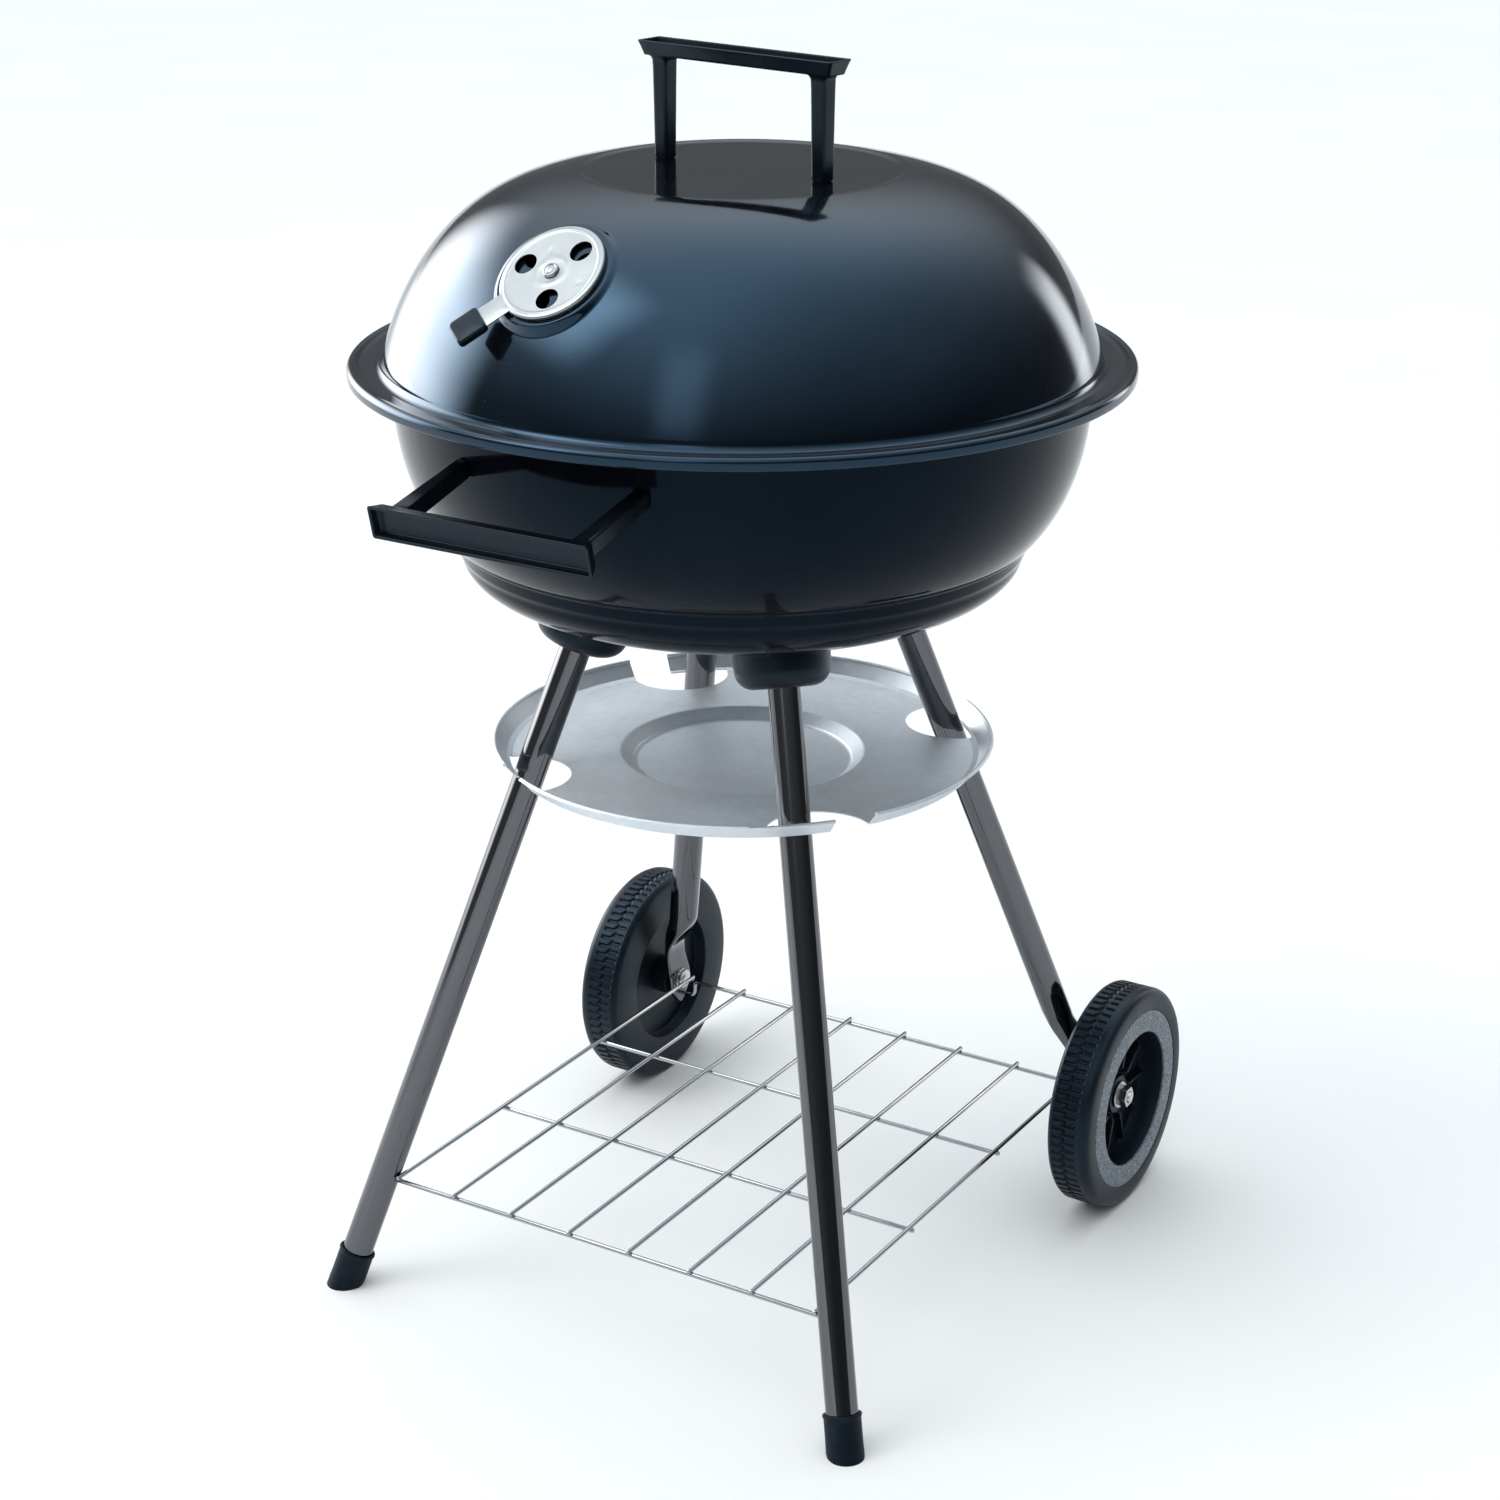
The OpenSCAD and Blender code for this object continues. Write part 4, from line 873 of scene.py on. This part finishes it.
def weld_spot(p, r):
    """A flattened bead where two wires cross, a small ball of few faces."""
    a, b = np.linspace(0, 2 * np.pi, 8, endpoint=False)[:, None], np.linspace(-np.pi / 2, np.pi / 2, 5)[None]
    v = np.stack([np.cos(a) * np.cos(b), np.sin(a) * np.cos(b), np.sin(b) + 0 * a], -1).reshape(-1, 3)
    return outward((v * np.array([r, r, r * 0.7]) + np.asarray(p, float), grid_faces(8, 5, loop_u=True)))


def shelf_wires():
    """Eight long wires on four cross wires, each a round wire along a line, and beads where they cross. The front
    cross wire runs into the front legs, and the rear one turns down into the rear legs."""
    front = at_height(FRONT_FOOT, FRONT_TOP, SHELF_Z)
    y0, y1, half = front[1], AXLE[1] + 1.7, 149.8
    hook_z, hook_x, top_z = AXLE[2] - 11, half - 3, SHELF_Z + 1.8 * WIRE_R
    ys = [y0 + (y1 - y0) * k / 3 for k in range(4)]
    parts = [tube(line((-front[0] + 7.5, y0, SHELF_Z), (front[0] - 7.5, y0, SHELF_Z)), WIRE_R)]
    parts += [tube(line((-half - 1.5, y, SHELF_Z), (half + 1.5, y, SHELF_Z)), WIRE_R) for y in ys[1:3]]
    end_x = AXLE[0] + 2.8
    hook = bend([(-end_x, AXLE[1], hook_z), (-hook_x, AXLE[1], hook_z), (-hook_x, y1, SHELF_Z), (hook_x, y1, SHELF_Z),
                 (hook_x, AXLE[1], hook_z), (end_x, AXLE[1], hook_z)], 3.4)
    parts.append(tube(hook, WIRE_R, (0, 1, 0.1)))
    for x in np.linspace(-half, half, 8):
        parts.append(tube(line((x, y0 - 2, top_z), (x, y1 + 2, top_z)), WIRE_R))
        parts += [weld_spot((x, y, (SHELF_Z + top_z) / 2), 1.7) for y in ys]
    return [outward(p) for p in parts]


wires = shelf_wires()
piece("shelf_wires", wires, wire_metal, "kettle", ["wire_shelf"], joined(wires))


def grate(r, z, count, cross_at, cross_in, loops):
    """A ring with parallel rods across it and two cross rods under them; loops adds the two lifting handles."""
    bar = 2.0
    parts = [tube(ring_line(r, z), 2.5, loop=True, n=14)]
    for i in range(1, count + 1):
        x = -r + 2 * r / (count + 1) * i
        half = math.sqrt(r * r - x * x)
        parts.append(tube(line((x, -half, z), (x, half, z)), bar, n=12))
    for s in (-1, 1):
        y = s * cross_at * r
        half = math.sqrt(r * r - y * y) - cross_in
        parts.append(tube(line((-half, y, z - 1.7 * bar), (half, y, z - 1.7 * bar)), bar, n=12))
    if loops:
        x0, rise = 30, 14
        y0 = math.sqrt(r * r - x0 * x0) - 1
        for s in (-1, 1):
            up = bend([(-x0, s * y0, z), (-x0, s * y0, z + rise), (x0, s * y0, z + rise), (x0, s * y0, z)], 5, 8)
            parts.append(tube(up, 2.5, (0, 1, 0), 14))
    return [outward(p) for p in parts]


cook = grate(197.5, FLOOR + 124, 21, 0.42, 0, True)
piece("cooking_rods", cook, wire_metal, "cooking_grate", ["cooking_grate"], joined(cook))
LEDGE_R = float(bowl_wall(LEDGE_Z))
coal = grate(LEDGE_R - SHEET - 3.1, LEDGE_Z + SHEET + 2.9, 13, 0.45, 8, False)
piece("charcoal_rods", coal, hot_steel, "charcoal_grate", ["charcoal_grate"])


# ---- wheels ----


def wheel_form():
    """The wheel turned about its axle, in (radius, axial), with the tread's blocks, its wavy groove and the web's
    ribs taken off or added as a function of the angle."""
    blocks, spokes = 76, 10
    n = blocks * 8
    tread_x = np.linspace(3.5, 21.6, 30)
    out = [(4.05, -2.7), (12.6, -2.7), (13.0, -2.3), (13.0, 9.0), (20, 9.0), (30, 9.0), (42, 9.0), (44.4, 8.6),
           (44.9, 8.0), (44.9, 1.0), (45.4, 0.2), (46.5, 0), (60, 0.0), (68.5, 0.1), (70.5, 0.5), (72.2, 1.4),
           (73.1, 2.6)]
    side = [(73.5, 22.4), (73.5, 24.0), (73.2, 25.6), (72.4, 27.2), (71.0, 28.5), (69.2, 29.1), (67.0, 29.3),
            (60.6, 29.3), (59.8, 29.1), (59.5, 28.7), (59.4, 28.0), (45.6, 28.0), (44.9, 28.0), (44.7, 27.3),
            (44.3, 20.0), (43.9, 14.0), (43.3, 12.6), (42.0, 12.0)]
    web = [(r, 12.0) for r in np.linspace(40.5, 15.5, 14)]
    hub = [(14.0, 12.1), (13.3, 12.6), (13.0, 13.6), (12.8, 16.2), (12.4, 16.9), (11.8, 17.0), (4.05, 17.0)]
    prof = np.array(out + [(73.5, x) for x in tread_x] + side + web + hub)
    a = np.linspace(0, 2 * np.pi, n, endpoint=False)[:, None]
    r, x = prof[:, 0][None] + 0 * a, prof[:, 1][None] + 0 * a
    k0 = len(out)
    t = slice(k0, k0 + len(tread_x))
    xt = x[:, t]
    mid = 12.4 + 1.1 * np.sin(blocks * a)
    lateral = smooth((np.abs(((blocks * a / (2 * np.pi)) + 0.5 * (xt > mid)) % 1.0 - 0.5) - 0.33) / 0.06)
    edge = smooth((xt - 3.6) / 1.2) * smooth((21.5 - xt) / 1.0)
    groove = np.maximum(lateral * edge, 1 - smooth((np.abs(xt - mid) - 0.5) / 0.6))
    r[:, t] -= 1.5 * groove
    w = slice(k0 + len(tread_x) + len(side), k0 + len(tread_x) + len(side) + len(web))
    rib = np.abs((a * spokes / (2 * np.pi) + 0.5) % 1.0 - 0.5) * (2 * np.pi / spokes) * r[:, w]
    x[:, w] += 5.0 * (1 - smooth((rib - 0.9) / 0.9)) * smooth((r[:, w] - 15.0) / 1.0) * smooth((41 - r[:, w]) / 1.0)
    v = np.stack([x + WHEEL_X, AXLE[1] + r * np.cos(a), AXLE[2] + r * np.sin(a)], -1)
    return v.reshape(-1, 3), grid_faces(n, len(prof), loop_u=True, loop_v=True)


def on_axle(profile, n, sides=0, flat=0.0):
    """A profile of (radius, x) turned about the axle; with sides, radii past flat follow a regular polygon, whose
    radius at angle a is r cos(pi / sides) / cos(a from the middle of its side)."""
    p = np.asarray(profile, float)
    a = np.linspace(0, 2 * np.pi, n, endpoint=False)[:, None]
    r, x = p[:, 0][None] + 0 * a, p[:, 1][None] + 0 * a
    if sides:
        b = (a % (2 * np.pi / sides)) - np.pi / sides
        r = np.where(r > flat, np.minimum(r, p[:, 0].max() * math.cos(math.pi / sides) / np.cos(b)), r)
    v = np.stack([x, AXLE[1] + r * np.cos(a), AXLE[2] + r * np.sin(a)], -1)
    return v.reshape(-1, 3), grid_faces(n, len(p), loop_u=True)


wheel_part = wheel_form()
trim_part = on_axle([(45.1, 193.6), (45.1, 194.6), (45.5, 194.85), (46.2, 194.9), (58.2, 194.9), (58.9, 194.85),
                     (59.3, 194.6), (59.3, 193.6), (45.1, 193.6)], 180)
for side, part_of in (("right", lambda p: outward(p)), ("left", lambda p: outward(mirrored(p)))):
    piece(f"wheel_moulding_{side}", [part_of(wheel_part)], wheel_plastic, f"{side}_wheel",
          [f"wheel_{side}"])
    piece(f"wheel_ring_{side}", [part_of(trim_part)], trim_plastic, f"{side}_wheel",
          [f"wheel_trim_{side}"])

x_out = WHEEL_X + 17.4
nut_part = on_axle([(4.05, x_out + 1.6), (7.0, x_out + 1.6), (7.0, x_out + 6.6), (6.6, x_out + 7.3),
                    (5.2, x_out + 7.6), (4.05, x_out + 7.6), (4.05, x_out + 1.6)], 96, 6, 5.5)
bolt_part = on_axle([(0, 153.9), (5.6, 153.9), (6.6, 154.3), (7.0, 155.0), (7.0, 156.8), (6.8, 157.3), (4.0, 157.3),
                     (4.0, 190.9), (3.4, 191.8), (2.2, 192.0), (0, 192.0)], 96, 6, 6.9)
washer_parts = [on_axle([(4.05, x), (8.6, x), (9.0, x + 0.4), (9.0, x + 1.1), (8.6, x + 1.5), (4.05, x + 1.5),
                         (4.05, x)], 72) for x in (160.9, x_out)]
piece("axle_nut_pair", [outward(nut_part), outward(mirrored(nut_part))], fastener_metal, "kettle",
      ["axle_nuts"])
piece("axle_washer_set", [outward(p) for p in washer_parts + [mirrored(p) for p in washer_parts]], fastener_metal,
      "kettle", ["axle_washers"])
for side, p in (("right", bolt_part), ("left", mirrored(bolt_part))):
    piece(f"axle_rod_{side}", [outward(p)], fastener_metal, "kettle", [f"axle_bolt_{side}"])


# ---- floor, light and camera ----


def stage_floor():
    """A wide pale floor, flat out to far behind the grill."""
    f = Finish("studio_floor")
    at = f.place()
    tone = f.fit(f.noise(at, 3.0, 3.0), 0.3, 0.7)
    pale = f.surface(Base_Color=f.blend(tone, (0.86, 0.86, 0.86), (0.88, 0.88, 0.88)), Roughness=0.75,
                     Normal=f.bump(f.noise(at, 300.0, 2.0), 0.05, 0.0002))
    mesh = bpy.data.meshes.new("studio_floor")
    half = 80.0
    corners = [(x * half, y * half, 0) for x, y in ((-1, -1), (1, -1), (1, 1), (-1, 1))]
    mesh.from_pydata(corners, [], [(0, 1, 2, 3)])
    mesh.materials.append(pale)
    obj = bpy.data.objects.new("studio_floor", mesh)
    bpy.context.scene.collection.objects.link(obj)


def ramp(tree, value, low, high, start=0.0, end=1.0):
    """A socket that goes from start to end along a smooth step while value goes from low to high."""
    step = tree.nodes.new("ShaderNodeMapRange")
    step.interpolation_type = "SMOOTHSTEP"
    tree.links.new(value, step.inputs["Value"])
    for name, number in (("From Min", low), ("From Max", high), ("To Min", start), ("To Max", end)):
        step.inputs[name].default_value = number
    return step.outputs[0]


def product(tree, factors):
    """A socket with the factors multiplied."""
    total = factors[0]
    for factor in factors[1:]:
        both = tree.nodes.new("ShaderNodeMath")
        both.operation = "MULTIPLY"
        tree.links.new(total, both.inputs[0])
        tree.links.new(factor, both.inputs[1])
        total = both.outputs[0]
    return total


def parts_of(tree, vector):
    """The X, Y and Z sockets of a vector."""
    part = tree.nodes.new("ShaderNodeSeparateXYZ")
    tree.links.new(vector, part.inputs[0])
    return part.outputs


def light(name, place, size, power, colour, aim_z=0.6, card=True):
    """A softbox that fades to nothing at its edges, as the product of a smooth step from each edge. A card is seen by
    glossy surfaces only."""
    data = bpy.data.lights.new(name, "AREA")
    data.shape, data.size, data.size_y = "RECTANGLE", size[0], size[1]
    data.energy, data.color = power, colour
    data.use_nodes = True
    tree = data.node_tree
    across = parts_of(tree, tree.nodes.new("ShaderNodeNewGeometry").outputs["Parametric"])
    fade = [ramp(tree, across[axis], edge, full) for axis in ("X", "Y") for edge, full in ((0.0, 0.4), (1.0, 0.6))]
    tree.links.new(product(tree, fade), tree.nodes["Emission"].inputs["Strength"])
    obj = bpy.data.objects.new(name, data)
    obj.location = place
    obj.rotation_mode = "QUATERNION"
    obj.rotation_quaternion = (Vector((0, 0, aim_z)) - Vector(place)).to_track_quat("-Z", "Y")
    obj.visible_diffuse = not card
    bpy.context.scene.collection.objects.link(obj)


def sky():
    """Soft room light, dim near the level of the eye and bright overhead, and brighter to the left than to the right:
    the product of a smooth step of the direction's height and one of its part to the right."""
    world = bpy.data.worlds.new("studio")
    world.use_nodes = True
    tree = world.node_tree
    way = parts_of(tree, tree.nodes.new("ShaderNodeTexCoord").outputs["Generated"])
    height, right = ramp(tree, way["Z"], 0.15, 1.0, 0.18, 2.1), ramp(tree, way["X"], -0.1, 0.75, 1.0, 0.45)
    back = tree.nodes["Background"]
    tree.links.new(product(tree, [height, right]), back.inputs[1])
    back.inputs[0].default_value = (0.92, 0.97, 1.0, 1)
    bpy.context.scene.world = world


stage_floor()
sky()
light("left_card", (-2.6, 0.1, 1.1), (3.8, 2.8), 290, (1, 0.99, 0.98))
light("right_card", (0.8, 2.7, 0.9), (0.9, 1.8), 22, (1, 0.96, 0.9))
light("front_card", (0.62, -3.0, 2.4), (1.3, 2.9), 13, (1, 1, 1))
light("key_softbox", (-1.6, -1.6, 3.0), (2.6, 2.6), 90, (1, 0.98, 0.95), aim_z=0.3, card=False)

camera = bpy.data.cameras.new("camera")
camera.lens, camera.sensor_width = 73.0, 36.0
camera.shift_x, camera.shift_y = -0.0001, 0.0019
camera.clip_end = 200
eye = bpy.data.objects.new("camera", camera)
azimuth, elevation = math.radians(31.49), math.radians(21.13)
level = math.cos(elevation)
back = Vector((math.sin(azimuth) * level, -math.cos(azimuth) * level, math.sin(elevation)))
eye.location = (0.90565, -1.47006 + KETTLE_Y * 0.001, 1.00032)
eye.rotation_mode = "QUATERNION"
eye.rotation_quaternion = (-back).to_track_quat("-Z", "Y")
bpy.context.scene.collection.objects.link(eye)
bpy.context.scene.camera = eye
bpy.context.scene.view_settings.view_transform = "Standard"
